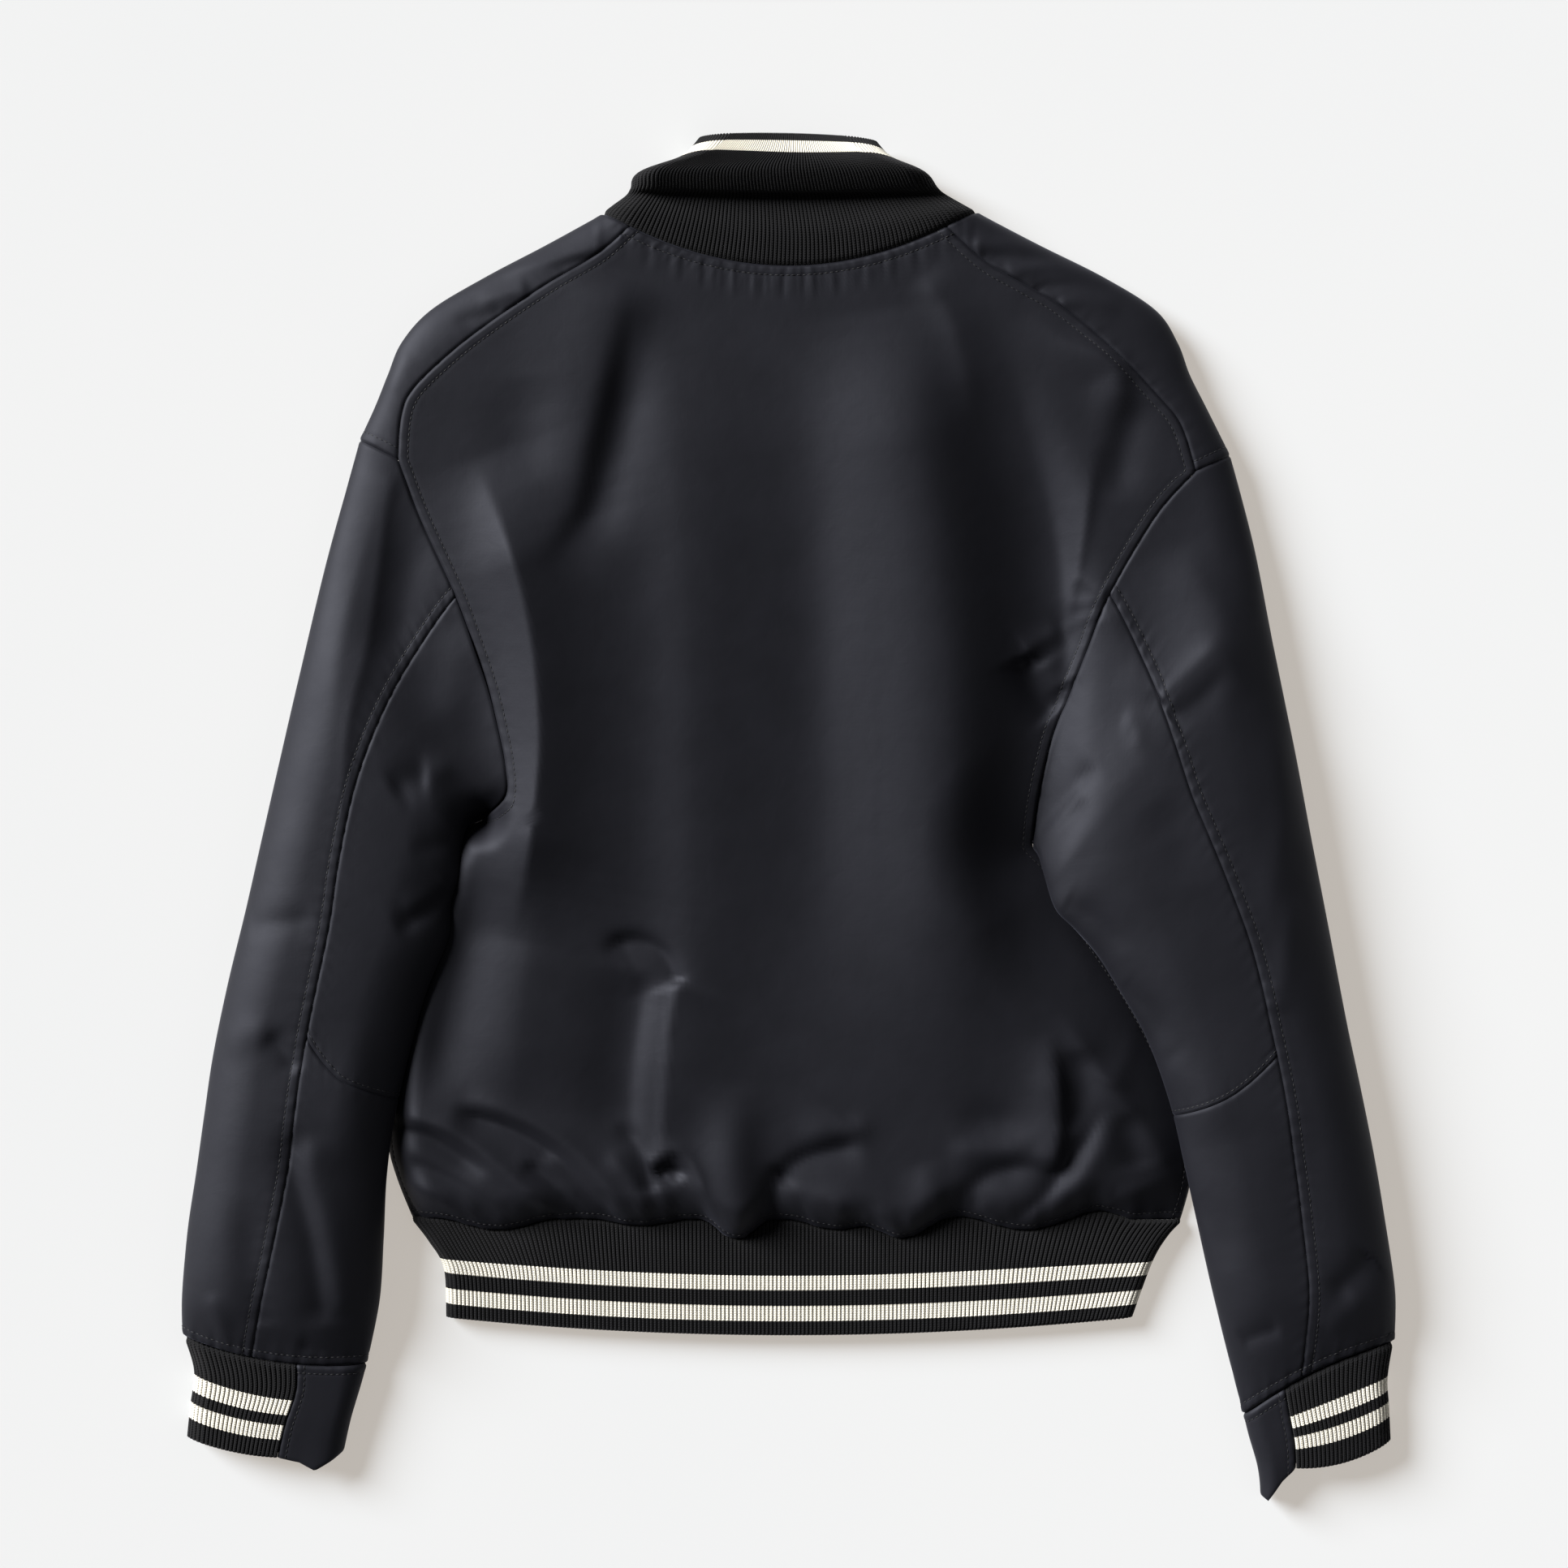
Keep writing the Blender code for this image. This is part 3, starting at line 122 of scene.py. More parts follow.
# Sleeve sections from the armhole to the cuff: outer x and y, inner x and y, how far across the
# back seam lies, the crown's height, the heights of the outer and the inner edge, and how far
# the section bows along the sleeve
SLEEVE_SECTIONS = {
    "left": [
        (-0.2650, 0.2345, -0.1820, -0.0045, 0.446, 0.028, 0.0110, 0.0045, 0.0),
        (-0.2845, 0.1625, -0.1955, -0.0070, 0.440, 0.034, 0.0120, 0.0080, 0.0),
        (-0.3015, 0.0910, -0.1995, -0.0190, 0.420, 0.038, 0.0130, 0.0130, 0.0),
        (-0.3145, 0.0340, -0.2010, -0.0340, 0.409, 0.040, 0.0140, 0.0170, 0.0),
        (-0.3250, -0.0120, -0.2075, -0.0510, 0.427, 0.041, 0.0140, 0.0180, 0.0),
        (-0.3350, -0.0560, -0.2095, -0.0730, 0.439, 0.041, 0.0140, 0.0180, 0.0),
        (-0.3460, -0.1015, -0.2230, -0.1060, 0.470, 0.041, 0.0140, 0.0180, 0.0),
        (-0.3550, -0.1450, -0.2340, -0.1460, 0.483, 0.040, 0.0140, 0.0180, 0.0),
        (-0.3605, -0.1820, -0.2425, -0.1840, 0.497, 0.040, 0.0140, 0.0180, 0.0),
        (-0.3655, -0.2175, -0.2475, -0.2200, 0.500, 0.039, 0.0140, 0.0170, 0.0),
        (-0.3710, -0.2550, -0.2495, -0.2590, 0.468, 0.038, 0.0140, 0.0160, 0.0),
        (-0.3745, -0.2950, -0.2520, -0.2965, 0.418, 0.034, 0.0130, 0.0150, -0.002),
        (-0.3745, -0.3190, -0.2605, -0.3365, 0.393, 0.022, 0.0110, 0.0110, -0.006),
    ],
    "right": [
        (0.2735, 0.2250, 0.1475, -0.0180, 0.4205, 0.028, 0.0110, 0.0045, 0.0),
        (0.2875, 0.1710, 0.1535, -0.0245, 0.430, 0.034, 0.0120, 0.0090, 0.0),
        (0.2975, 0.1200, 0.1600, -0.0430, 0.435, 0.038, 0.0130, 0.0130, 0.0),
        (0.3060, 0.0770, 0.1660, -0.0570, 0.433, 0.040, 0.0140, 0.0170, 0.0),
        (0.3140, 0.0375, 0.1775, -0.0685, 0.424, 0.041, 0.0140, 0.0180, 0.0),
        (0.3235, -0.0130, 0.1905, -0.0835, 0.402, 0.041, 0.0140, 0.0180, 0.0),
        (0.3345, -0.0700, 0.2025, -0.1025, 0.378, 0.041, 0.0140, 0.0180, 0.0),
        (0.3450, -0.1250, 0.2210, -0.1350, 0.398, 0.040, 0.0140, 0.0180, 0.0),
        (0.3535, -0.1650, 0.2350, -0.1735, 0.419, 0.040, 0.0140, 0.0180, 0.0),
        (0.3615, -0.2050, 0.2430, -0.2070, 0.439, 0.039, 0.0140, 0.0180, 0.0),
        (0.3675, -0.2400, 0.2505, -0.2400, 0.457, 0.038, 0.0140, 0.0160, 0.0),
        (0.3750, -0.2900, 0.2640, -0.3000, 0.500, 0.034, 0.0130, 0.0150, 0.002),
        (0.3750, -0.3225, 0.2815, -0.3675, 0.600, 0.022, 0.0110, 0.0110, 0.006),
    ],
}
ELBOW_ROW = {"left": (6.70, 7.67), "right": (7.37, 8.25)}   # at the back seam and the inner edge

# Cuff sections, as the sleeve's, with the seam between the knit and the cloth strip, and the
# drop of the strip's point below the line from edge to edge
CUFF_SECTIONS = {
    "left": [
        (-0.3728, -0.3200, -0.2605, -0.3365, 0.63, 0.022, 0.0110, 0.0110, -0.0054, 0.0),
        (-0.3670, -0.3410, -0.2640, -0.3490, 0.62, 0.021, 0.0100, 0.0100, -0.0065, 0.001),
        (-0.3695, -0.3625, -0.2705, -0.3710, 0.60, 0.020, 0.0095, 0.0095, -0.0065, 0.004),
        (-0.3715, -0.3815, -0.2750, -0.3910, 0.59, 0.018, 0.0090, 0.0090, -0.0065, 0.009),
    ],
    "right": [
        (0.3738, -0.3230, 0.2815, -0.3675, 0.71, 0.022, 0.0110, 0.0110, 0.0054, 0.0),
        (0.3705, -0.3450, 0.2835, -0.3770, 0.70, 0.021, 0.0100, 0.0100, 0.002, 0.005),
        (0.3715, -0.3635, 0.2870, -0.3880, 0.71, 0.020, 0.0095, 0.0095, -0.004, 0.013),
        (0.3725, -0.3835, 0.2890, -0.3965, 0.72, 0.018, 0.0090, 0.0090, -0.009, 0.023),
    ],
}

# Hem band rows from the seam to the lower edge: both side edges, the bow of the line, the height
# of the upper face, and how much of the bulging seam line the row follows
HEM_ROWS = [
    (-0.2330, -0.2475, 0.2435, -0.2490, 0.0000, 0.0100, 1.00),
    (-0.2225, -0.2610, 0.2350, -0.2580, -0.0060, 0.0115, 0.45),
    (-0.2130, -0.2780, 0.2255, -0.2740, -0.0080, 0.0120, 0.15),
    (-0.2115, -0.3080, 0.2130, -0.3080, -0.0110, 0.0105, 0.00),
]
TUCK = 0.0018                   # how far the knit runs in under the cloth of the back
TUCK_SHARE = 0.12               # share of the first row's depth that tucks in
HEM_LEAN = 0.060                # how far from the band's ends its ribs lean
HEM_NOSE = 0.0050               # height of the band's side edges
HEM_EDGE_ROUND = (0.017, 0.014) # plan width of those edges above and below, as shares
HEM_EDGE_SHARE = (0.046, 0.10)  # share of the way round that they take, above and below

# Collar rows from the neckline to the folded top edge, over the slouch at the middle: both
# side edges, the middle's y, the height, the share of the side that rounds over, its width,
# and the row's share of the way up the front
COLLAR_ROWS = [
    (-0.1145, 0.3745, 0.1165, 0.3755, 0.3410, 0.0240, 0.20, 0.0175, 0.00),
    (-0.1080, 0.3795, 0.1105, 0.3785, 0.3620, 0.0255, 0.20, 0.0170, 0.22),
    (-0.1000, 0.3855, 0.0975, 0.3860, 0.3850, 0.0210, 0.20, 0.0160, 0.42),
    (-0.0970, 0.3900, 0.0925, 0.3900, 0.3864, 0.0290, 0.20, 0.0160, 0.55),
    (-0.0930, 0.3985, 0.0850, 0.3990, 0.3985, 0.0370, 0.22, 0.0170, 0.68),
    (-0.0670, 0.4085, 0.0650, 0.4080, 0.4090, 0.0345, 0.28, 0.0180, 0.84),
    (-0.0545, 0.4215, 0.0545, 0.4190, 0.4225, 0.0220, 0.34, 0.0200, 1.00),
]
COLLAR_NOSE = 0.0110            # height of the collar's side edges
COLLAR_SIDE = (0.1155, 0.375)   # where the neckline reaches the side, x and y
COLLAR_TOP_SIDE = (0.0545, 0.421)
COLLAR_UNDER_NOSE = 0.1
FRONT_COLLAR_TURN = 0.3         # share of the collar's front half that rounds under
NECK_CORNER = 0.12              # share of that half up to the shoulder point
ARCH_FALL = 0.16                # how much a tube's crown falls towards its edges

BODY = "root"
HIDDEN_DENSITY = 0.45   # mesh density on the side that lies on the floor
FRONT_STEP = 6.0 * MM
SHOULDER_STEP = 2.6 * MM
SNAP_CLEARANCE = 0.3 * MM
LAP_THICKNESS = 1.8 * MM
SNAP_COUNT = 6

# Cream bands of the knit, as distances in mm: from the lower edge of the hem band, from the seam
# of a cuff, and from the top edge of the collar
HEM_BANDS = [(9.0, 18.4), (28.2, 37.2)]
CUFF_BANDS = {"left": [(23.5, 33.3), (40.3, 49.8)], "right": [(21.5, 30.5), (37.5, 46.5)]}
COLLAR_BANDS = [(8.0, 19.0)]

# Ribs of the knit bands
RIBBED_LENGTH = {"hem": 0.452, "collar": 0.244}     # over the back, round both turned edges
CUFF_RIBS = {"left": 24, "right": 26}               # on the upper face
CUFF_RIBS_UNDER = 6                                 # how many fewer lie on the under face
RIB_RELIEF = 1.0 * MM
KNIT_STEP = {"cuff": 2.2 * MM, "hem": 2.7 * MM, "collar": 2.0 * MM}
STRIP_STEP = 2.5 * MM

# Camera and light
LENS, SENSOR = 85.0, 36.0
FRAME_WIDTH = 0.966
FRAME_CENTRE = (-0.0025, 0.022)
FRAME_LEVEL = 0.020
WINDOW_PLACE = (-2.8, 1.75, 1.6)        # only its direction counts
WINDOW_ANGLE = math.radians(28.0)       # how large the window looks from the jacket
ROOM_PLACE = (1.9, -0.6, 1.8)
ROOM_SIZE = 2.4
FLOOR_PAINTED_GLOW = 0.48       # painted warm glow of the floor, so its shadows stay pale as if it were lit past white
FLOOR_HALF = 6.0
FLOOR_DROP = 0.3 * MM   # the floor lies this much below the jacket
TINY = 1e-12


# ---------------------------------------------------------------- curves

def through(table, t):
    """Smooth curve through the rows of a table, read at the row numbers t."""
    table = np.asarray(table, float)
    last = len(table) - 1
    t = np.clip(np.asarray(t, float), 0.0, last)
    i = np.minimum(t.astype(int), last - 1)
    f = (t - i)[..., None]
    before, low, high, after = (table[np.clip(i + k, 0, last)] for k in (-1, 0, 1, 2))
    bend = 2.0 * before - 5.0 * low + 4.0 * high - after
    turn = 3.0 * (low - high) + after - before
    return low + 0.5 * f * (high - before + f * (bend + f * turn))


def dense(points, steps=160):
    """A smooth curve through a few points, as many short steps."""
    return through(points, np.linspace(0.0, len(points) - 1, steps))


def along(path, fractions):
    """Points at fractions of a path's length."""
    step = np.hypot(*np.diff(path, axis=0).T)
    length = np.concatenate([[0.0], np.cumsum(step)])
    place = np.asarray(fractions) * length[-1]
    return np.stack([np.interp(place, length, path[:, k]) for k in (0, 1)], axis=-1)


def path_length(path):
    return float(np.hypot(*np.diff(path, axis=0).T).sum())


def dome(f):
    """Rises from 0 at f = 0 and is level from f = 1 on."""
    return 1.0 - (1.0 - np.clip(f, 0.0, 1.0)) ** 2


def bump(f):
    """1 at f = 0, falling softly to 0 at f = 1 and beyond."""
    return np.clip(1.0 - f * f, 0.0, None) ** 2


def step_up(f):
    """0 below 0, 1 above 1, with soft ends."""
    f = np.clip(f, 0.0, 1.0)
    return f * f * (3.0 - 2.0 * f)


def neckline_y(x):
    return NECK_LOW + NECK_DROP * (x / NECK_HALF) ** 2


# ---------------------------------------------------------------- folds

# A fold runs along a path (x, y in mm).  It is soft to its right over one width and to its left
# over another, seen along the path, in mm.  Lift is in mm, below 0 for a trough.  Sharpness 2 is
# round and 1 is a crease.  Fade is the share of the path over which it dies away at each end.
Fold = namedtuple("Fold", "path right left lift sharp fade")

BACK_FOLDS = [
    # the drape below the left shoulder and the edge that runs down from it
    Fold([(-102, 338), (-112, 302), (-125, 245), (-138, 188)], 36, 22, 5.0, 2.0, (0.25, 0.35)),
    Fold([(-90, 324), (-102, 265), (-112, 222), (-122, 186), (-152, 147)], 9, 18, -5.0, 2.0,
         (0.3, 0.3)),
    Fold([(-164, 274), (-161, 240), (-154, 204)], 20, 20, -2.2, 2.0, (0.4, 0.4)),
    # a crisp ledge beside the left sleeve, and the shaded fall to its right
    Fold([(-192, 224), (-170, 165), (-157, 110), (-152, 55), (-154, 15), (-160, -30), (-170, -75)],
         24, 46, 19.0, 1.2, (0.2, 0.25)),
    Fold([(-150, -20), (-158, -80), (-166, -130), (-170, -180)], 26, 44, 5.0, 1.6, (0.4, 0.3)),
    Fold([(-186, -30), (-202, -80), (-212, -130), (-216, -176)], 14, 22, -5.0, 2.0, (0.3, 0.3)),
    # long soft waves down the middle
    Fold([(-72, 312), (-64, 225), (-58, 105), (-56, -45), (-60, -120), (-64, -200)], 24, 34, 4.0,
         2.0, (0.3, 0.15)),
    Fold([(4, 312), (14, 200), (18, 80), (20, -60), (22, -170)], 26, 22, -3.0, 2.0, (0.4, 0.5)),
    Fold([(66, 318), (78, 230), (92, 120), (100, 0), (103, -100), (104, -190)], 48, 36, 13.5, 2.0,
         (0.2, 0.35)),
    Fold([(118, 322), (142, 250), (162, 180), (168, 110), (162, 50), (154, 0), (162, -60),
          (172, -120)], 40, 16, -11.5, 2.0, (0.35, 0.3)),
    Fold([(82, 336), (100, 310), (110, 272), (114, 236)], 10, 16.2, 2.2, 1.6, (0.2, 0.4)),
    # the right shoulder blade
    Fold([(144, 313), (169, 293), (194, 283), (203, 272), (202, 245), (193, 220)], 15, 8, 4.5,
         1.8, (0.4, 0.4)),
    Fold([(210, 262), (205, 226), (201, 194)], 10, 12.5, -2.9, 2.0, (0.3, 0.4)),
    Fold([(191, 236), (186, 198), (180, 160), (175, 135), (174, 120)], 15, 3.8, 2.4, 1.1,
         (0.3, 0.3)),
    Fold([(176, 152), (186, 144), (196, 139)], 3.8, 3.8, 1.0, 1.5, (0.3, 0.1)),
    Fold([(172, 132), (183, 134), (195, 137)], 3.8, 3.8, 0.9, 1.5, (0.3, 0.1)),
    Fold([(168, 118), (180, 122), (191, 128)], 3.8, 5, 1.0, 1.5, (0.3, 0.1)),
    # the pocket by the right armhole
    Fold([(143, 100), (152, 80), (165, 64)], 10, 8.8, -4.7, 1.6, (0.1, 0.2)),
    Fold([(145, 104), (156, 111), (170, 117)], 6.2, 7.5, 2.3, 1.5, (0.1, 0.3)),
    Fold([(158, 100), (164, 90), (170, 80)], 8.8, 10, 2.2, 2.0, (0.3, 0.2)),
    # the arch and the crisp crease left of the middle
    Fold([(-114, -84), (-104, -75), (-90, -74), (-76, -82), (-67, -101)], 13, 4, -4.0, 1.3,
         (0.3, 0.05)),
    Fold([(-88, -92), (-95, -130), (-99, -170), (-96, -205)], 24, 9, -4.5, 2.0, (0.2, 0.3)),
    Fold([(-66, -98), (-72, -118), (-75, -148), (-78, -208)], 4, 15, 2.6, 1.0, (0.1, 0.1)),
    Fold([(-86, -214), (-79, -208), (-69, -203), (-59, -212), (-52, -230), (-48, -250)],
         4, 6, 3.4, 1.2, (0.05, 0.1)),
    Fold([(-82, -219), (-72, -214), (-64, -219)], 8, 3, -4.5, 1.5, (0.1, 0.2)),
    Fold([(-77, -218), (-77, -234), (-75, -252)], 3, 4, 1.8, 1.1, (0.2, 0.1)),
    # slanting creases at the lower left
    Fold([(-246, -188), (-224, -193), (-204, -206), (-184, -220)], 9, 5, -4.5, 1.4, (0.05, 0.3)),
    Fold([(-238, -184), (-214, -189), (-194, -200), (-168, -222), (-140, -246)], 5, 8, 3.6, 1.4,
         (0.1, 0.1)),
    Fold([(-206, -179), (-175, -188), (-147, -204), (-122, -229), (-105, -250)], 10, 3, -5.0, 1.2,
         (0.15, 0.05)),
    Fold([(-200, -172), (-170, -181), (-140, -197), (-114, -222), (-96, -250)], 5, 9, 3.2, 1.5,
         (0.2, 0.05)),
    Fold([(-162, -210), (-142, -226), (-122, -252)], 6, 3, -3.2, 1.3, (0.2, 0.05)),
    Fold([(-150, -206), (-128, -222), (-108, -246)], 4, 5, 2.2, 1.5, (0.2, 0.05)),
    Fold([(-236, -208), (-204, -224), (-176, -246)], 7, 4, -2.6, 1.4, (0.2, 0.1)),
    Fold([(-240, -222), (-216, -232), (-200, -246)], 5, 5, 1.6, 1.6, (0.2, 0.1)),
    Fold([(-112, -204), (-94, -224), (-86, -250)], 8, 5, 2.6, 1.5, (0.3, 0.05)),
    Fold([(-104, -186), (-90, -205), (-84, -230)], 7, 4, -2.8, 1.4, (0.3, 0.1)),
    # bulges over the hem band, and the troughs between them
    Fold([(-30, -160), (-34, -210), (-27, -262)], 18, 15, 6.5, 2.0, (0.5, 0.0)),
    Fold([(-5, -212), (-11, -233), (-16, -258)], 6.2, 10, -5.4, 1.5, (0.3, 0.0)),
    Fold([(-8, -220), (8, -208), (30, -202), (46, -198)], 11.2, 4.4, -3.6, 1.4, (0.1, 0.3)),
    Fold([(4, -198), (24, -192), (44, -190), (40, -178)], 6.2, 12.5, 1.9, 1.8, (0.3, 0.4)),
    Fold([(10, -232), (36, -243), (60, -258), (74, -264)], 15, 13.8, 3.2, 2.0, (0.3, 0.0)),
    Fold([(44, -256), (49, -246), (56, -243), (63, -250), (70, -262)], 5, 3.8, 1.7, 1.5,
         (0.2, 0.0)),
    Fold([(34, -262), (40, -250), (46, -240)], 3.8, 5, -1.4, 1.5, (0.0, 0.4)),
    Fold([(82, -210), (88, -235), (80, -262)], 11.2, 10, 2.9, 2.0, (0.4, 0.0)),
    Fold([(102, -248), (110, -230), (122, -219), (138, -214), (158, -210)], 11.2, 6.2, -4.0, 1.5,
         (0.05, 0.3)),
    Fold([(104, -196), (118, -186), (134, -186), (150, -196)], 11.2, 11.2, -2.3, 2.0, (0.4, 0.4)),
    Fold([(98, -206), (114, -204), (134, -204), (152, -202)], 7.5, 7.5, 1.7, 2.0, (0.3, 0.3)),
    Fold([(114, -238), (124, -250), (136, -258)], 11.2, 11.2, 2.9, 2.0, (0.3, 0.0)),
    # the star at the lower right
    Fold([(132, -252), (156, -233), (168, -214), (184, -194), (198, -172)], 10, 5, -3.6, 1.3,
         (0.05, 0.3)),
    Fold([(144, -252), (166, -236), (186, -214), (202, -180)], 7.5, 7.5, 2.4, 1.6, (0.1, 0.2)),
    Fold([(160, -130), (166, -160), (167, -190), (163, -218)], 17, 4, 5.5, 1.6, (0.4, 0.15)),
    Fold([(178, -140), (180, -165), (176, -195)], 11.2, 12.5, -3.6, 2.0, (0.3, 0.3)),
    Fold([(168, -118), (182, -140), (199, -165), (220, -190), (236, -216)], 7.5, 7.5, 2.7, 1.5,
         (0.3, 0.1)),
    Fold([(222, -112), (212, -140), (200, -166)], 7.5, 8.8, 2.2, 1.6, (0.3, 0.1)),
    Fold([(207, -180), (213, -200), (216, -216)], 10, 10, -3.6, 2.0, (0.3, 0.2)),
    Fold([(194, -240), (214, -229), (240, -218)], 6.2, 6.2, 2.3, 1.6, (0.1, 0.1)),
    Fold([(222, -80), (230, -118), (240, -160)], 5, 6.2, 1.6, 1.5, (0.3, 0.3)),
]

# The pressed crease down the left sleeve comes first
SLEEVE_FOLDS = [
    Fold([(-241, 216), (-247, 190), (-252, 150), (-258, 106), (-268, 62), (-272, 20), (-275, -24)],
         20, 6.2, 2.2, 1.2, (0.1, 0.3)),
    Fold([(-226, 190), (-238, 130), (-246, 90)], 15, 12.5, -2.2, 2.0, (0.3, 0.4)),
    Fold([(-243, 18), (-232, 24), (-219, 26)], 11.2, 10, -3.0, 1.8, (0.3, 0.3)),
    Fold([(-224, 26), (-208, 32), (-192, 26), (-178, 12)], 8.8, 8.8, 2.2, 1.8, (0.3, 0.2)),
    Fold([(-200, 120), (-204, 80), (-214, 50)], 15, 15, 2.2, 2.0, (0.3, 0.4)),
    Fold([(-240, -68), (-224, -58), (-207, -46)], 5, 7.5, -3.2, 1.5, (0.3, 0.05)),
    Fold([(-236, -56), (-222, -48), (-208, -38)], 6.2, 6.2, 1.6, 1.8, (0.3, 0.1)),
    Fold([(-232, -18), (-214, -16), (-200, -12)], 6.2, 6.2, -1.7, 1.6, (0.4, 0.1)),
    Fold([(-334, -64), (-312, -63), (-288, -59)], 8.8, 7.5, -1.6, 1.6, (0.2, 0.3)),
    Fold([(-318, -130), (-308, -142), (-300, -156)], 6.2, 7.5, -2.4, 1.5, (0.3, 0.3)),
    Fold([(-352, -140), (-330, -130), (-316, -132)], 10, 8.8, 1.3, 2.0, (0.3, 0.4)),
    Fold([(-300, -186), (-304, -208), (-296, -238), (-289, -272), (-285, -312)], 8.8, 10, -3.0, 1.6,
         (0.2, 0.1)),
    Fold([(-289, -190), (-290, -220), (-280, -260), (-272, -306)], 8.8, 10, 1.9, 1.8, (0.2, 0.1)),
    Fold([(-262, -120), (-266, -170), (-262, -220)], 17.5, 12.5, 1.7, 2.0, (0.4, 0.4)),
    Fold([(-332, -230), (-328, -270), (-322, -312)], 11.2, 10, -1.6, 2.0, (0.4, 0.1)),
    Fold([(-302, -322), (-284, -328), (-264, -333)], 5, 5, -1.9, 1.5, (0.2, 0.1)),
    Fold([(-356, -290), (-350, -306), (-346, -322)], 6.2, 6.2, 1.3, 1.8, (0.3, 0.0)),
    # the right sleeve
    Fold([(149, -14), (166, 6), (180, 24), (190, 34)], 5, 8.8, -3.0, 1.4, (0.05, 0.3)),
    Fold([(154, -22), (171, -3), (184, 14)], 5, 6.2, -2.0, 1.4, (0.05, 0.3)),
    Fold([(152, -18), (168, 2), (182, 20)], 3.8, 3.8, 1.4, 1.6, (0.05, 0.3)),
    Fold([(240, 170), (262, 120), (276, 70)], 20, 14, 3.0, 2.0, (0.3, 0.4)),
    Fold([(228, 72), (246, 92), (268, 112)], 11.2, 7.5, 1.9, 1.6, (0.1, 0.3)),
    Fold([(234, 60), (254, 76), (272, 96)], 8.8, 6.2, -1.7, 1.8, (0.1, 0.4)),
    Fold([(205, 62), (212, 58), (214, 48), (208, 40)], 6.2, 7.5, 1.3, 1.6, (0.2, 0.4)),
    Fold([(196, 130), (212, 96), (224, 72)], 15, 10, 1.9, 2.0, (0.1, 0.4)),
    Fold([(298, 64), (305, 14), (302, -18), (291, -84)], 10, 12.5, 1.9, 1.8, (0.2, 0.4)),
    Fold([(310, -44), (304, -88), (297, -122)], 8.8, 10, 1.7, 1.8, (0.3, 0.3)),
    Fold([(222, 12), (240, -10), (250, -40)], 17.5, 15, -1.7, 2.0, (0.4, 0.4)),
    Fold([(170, -52), (190, -62), (206, -84)], 6.2, 7.5, -1.9, 1.6, (0.05, 0.4)),
    Fold([(204, -104), (222, -118), (232, -140)], 6.2, 7.5, -1.9, 1.6, (0.05, 0.4)),
    Fold([(230, -150), (252, -170), (262, -200)], 12.5, 12.5, 1.7, 2.0, (0.2, 0.4)),
    Fold([(247, -236), (262, -250), (270, -280)], 7.5, 10, -1.7, 1.8, (0.1, 0.4)),
    Fold([(279, -321), (290, -316), (302, -312)], 5, 6.2, -1.9, 1.5, (0.1, 0.2)),
    Fold([(358, -268), (346, -280), (332, -294)], 8.8, 11.2, -2.9, 1.7, (0.1, 0.3)),
    Fold([(352, -290), (342, -302), (330, -314)], 7.5, 8.8, 1.4, 2.0, (0.2, 0.2)),
    Fold([(310, -180), (316, -230), (318, -290)], 15, 12.5, -1.3, 2.0, (0.4, 0.3)),
]

SHOULDER_FOLDS = [
    Fold([(-178, 336), (-150, 343), (-112, 352)], 5, 6.2, 1.3, 1.7, (0.4, 0.1)),
    Fold([(-150, 338), (-128, 344), (-108, 349)], 3.8, 3.8, -1.2, 1.6, (0.4, 0.1)),
    Fold([(-192, 318), (-176, 322), (-160, 326)], 5, 6.2, 1.2, 1.7, (0.4, 0.1)),
    Fold([(-206, 306), (-192, 309), (-176, 313)], 3.8, 5, -1.0, 1.7, (0.4, 0.1)),
    Fold([(-246, 262), (-242, 276), (-232, 288)], 6.2, 6.2, 0.9, 2.0, (0.3, 0.3)),
    Fold([(114, 354), (134, 354), (156, 350)], 5, 5, 1.3, 1.7, (0.1, 0.4)),
    Fold([(118, 347), (140, 346), (164, 342)], 3.8, 3.8, -1.2, 1.6, (0.1, 0.4)),
    Fold([(134, 337), (160, 341), (186, 336)], 5, 5, 1.2, 1.7, (0.1, 0.4)),
    Fold([(150, 327), (178, 329), (200, 322)], 3.8, 3.8, -1.1, 1.6, (0.1, 0.4)),
    Fold([(166, 318), (186, 319), (206, 312)], 5, 5, 1.0, 1.8, (0.1, 0.4)),
]


def signed_gap(x, y, path):
    """Distance from points to a path, how far along it they lie, and whether on its left."""
    point = np.stack([x, y], axis=-1)[..., None, :]
    start = path[:-1]
    run = path[1:] - start
    away = point - start
    f = np.clip((away * run).sum(-1) / np.maximum((run * run).sum(-1), TINY), 0.0, 1.0)
    gap = np.linalg.norm(away - f[..., None] * run, axis=-1)
    best = gap.argmin(axis=-1)[..., None]
    turn = run[..., 0] * away[..., 1] - run[..., 1] * away[..., 0]
    pick = [np.take_along_axis(values, best, -1)[..., 0] for values in (gap, f, turn)]
    return pick[0], (best[..., 0] + pick[1]) / len(run), pick[2] > 0.0


ROUND_REACH, CREASE_REACH = 3.0, 4.5    # how many widths off a fold can still be felt
CREASE_LIMIT = 1.4                      # folds up to this sharpness count as creases


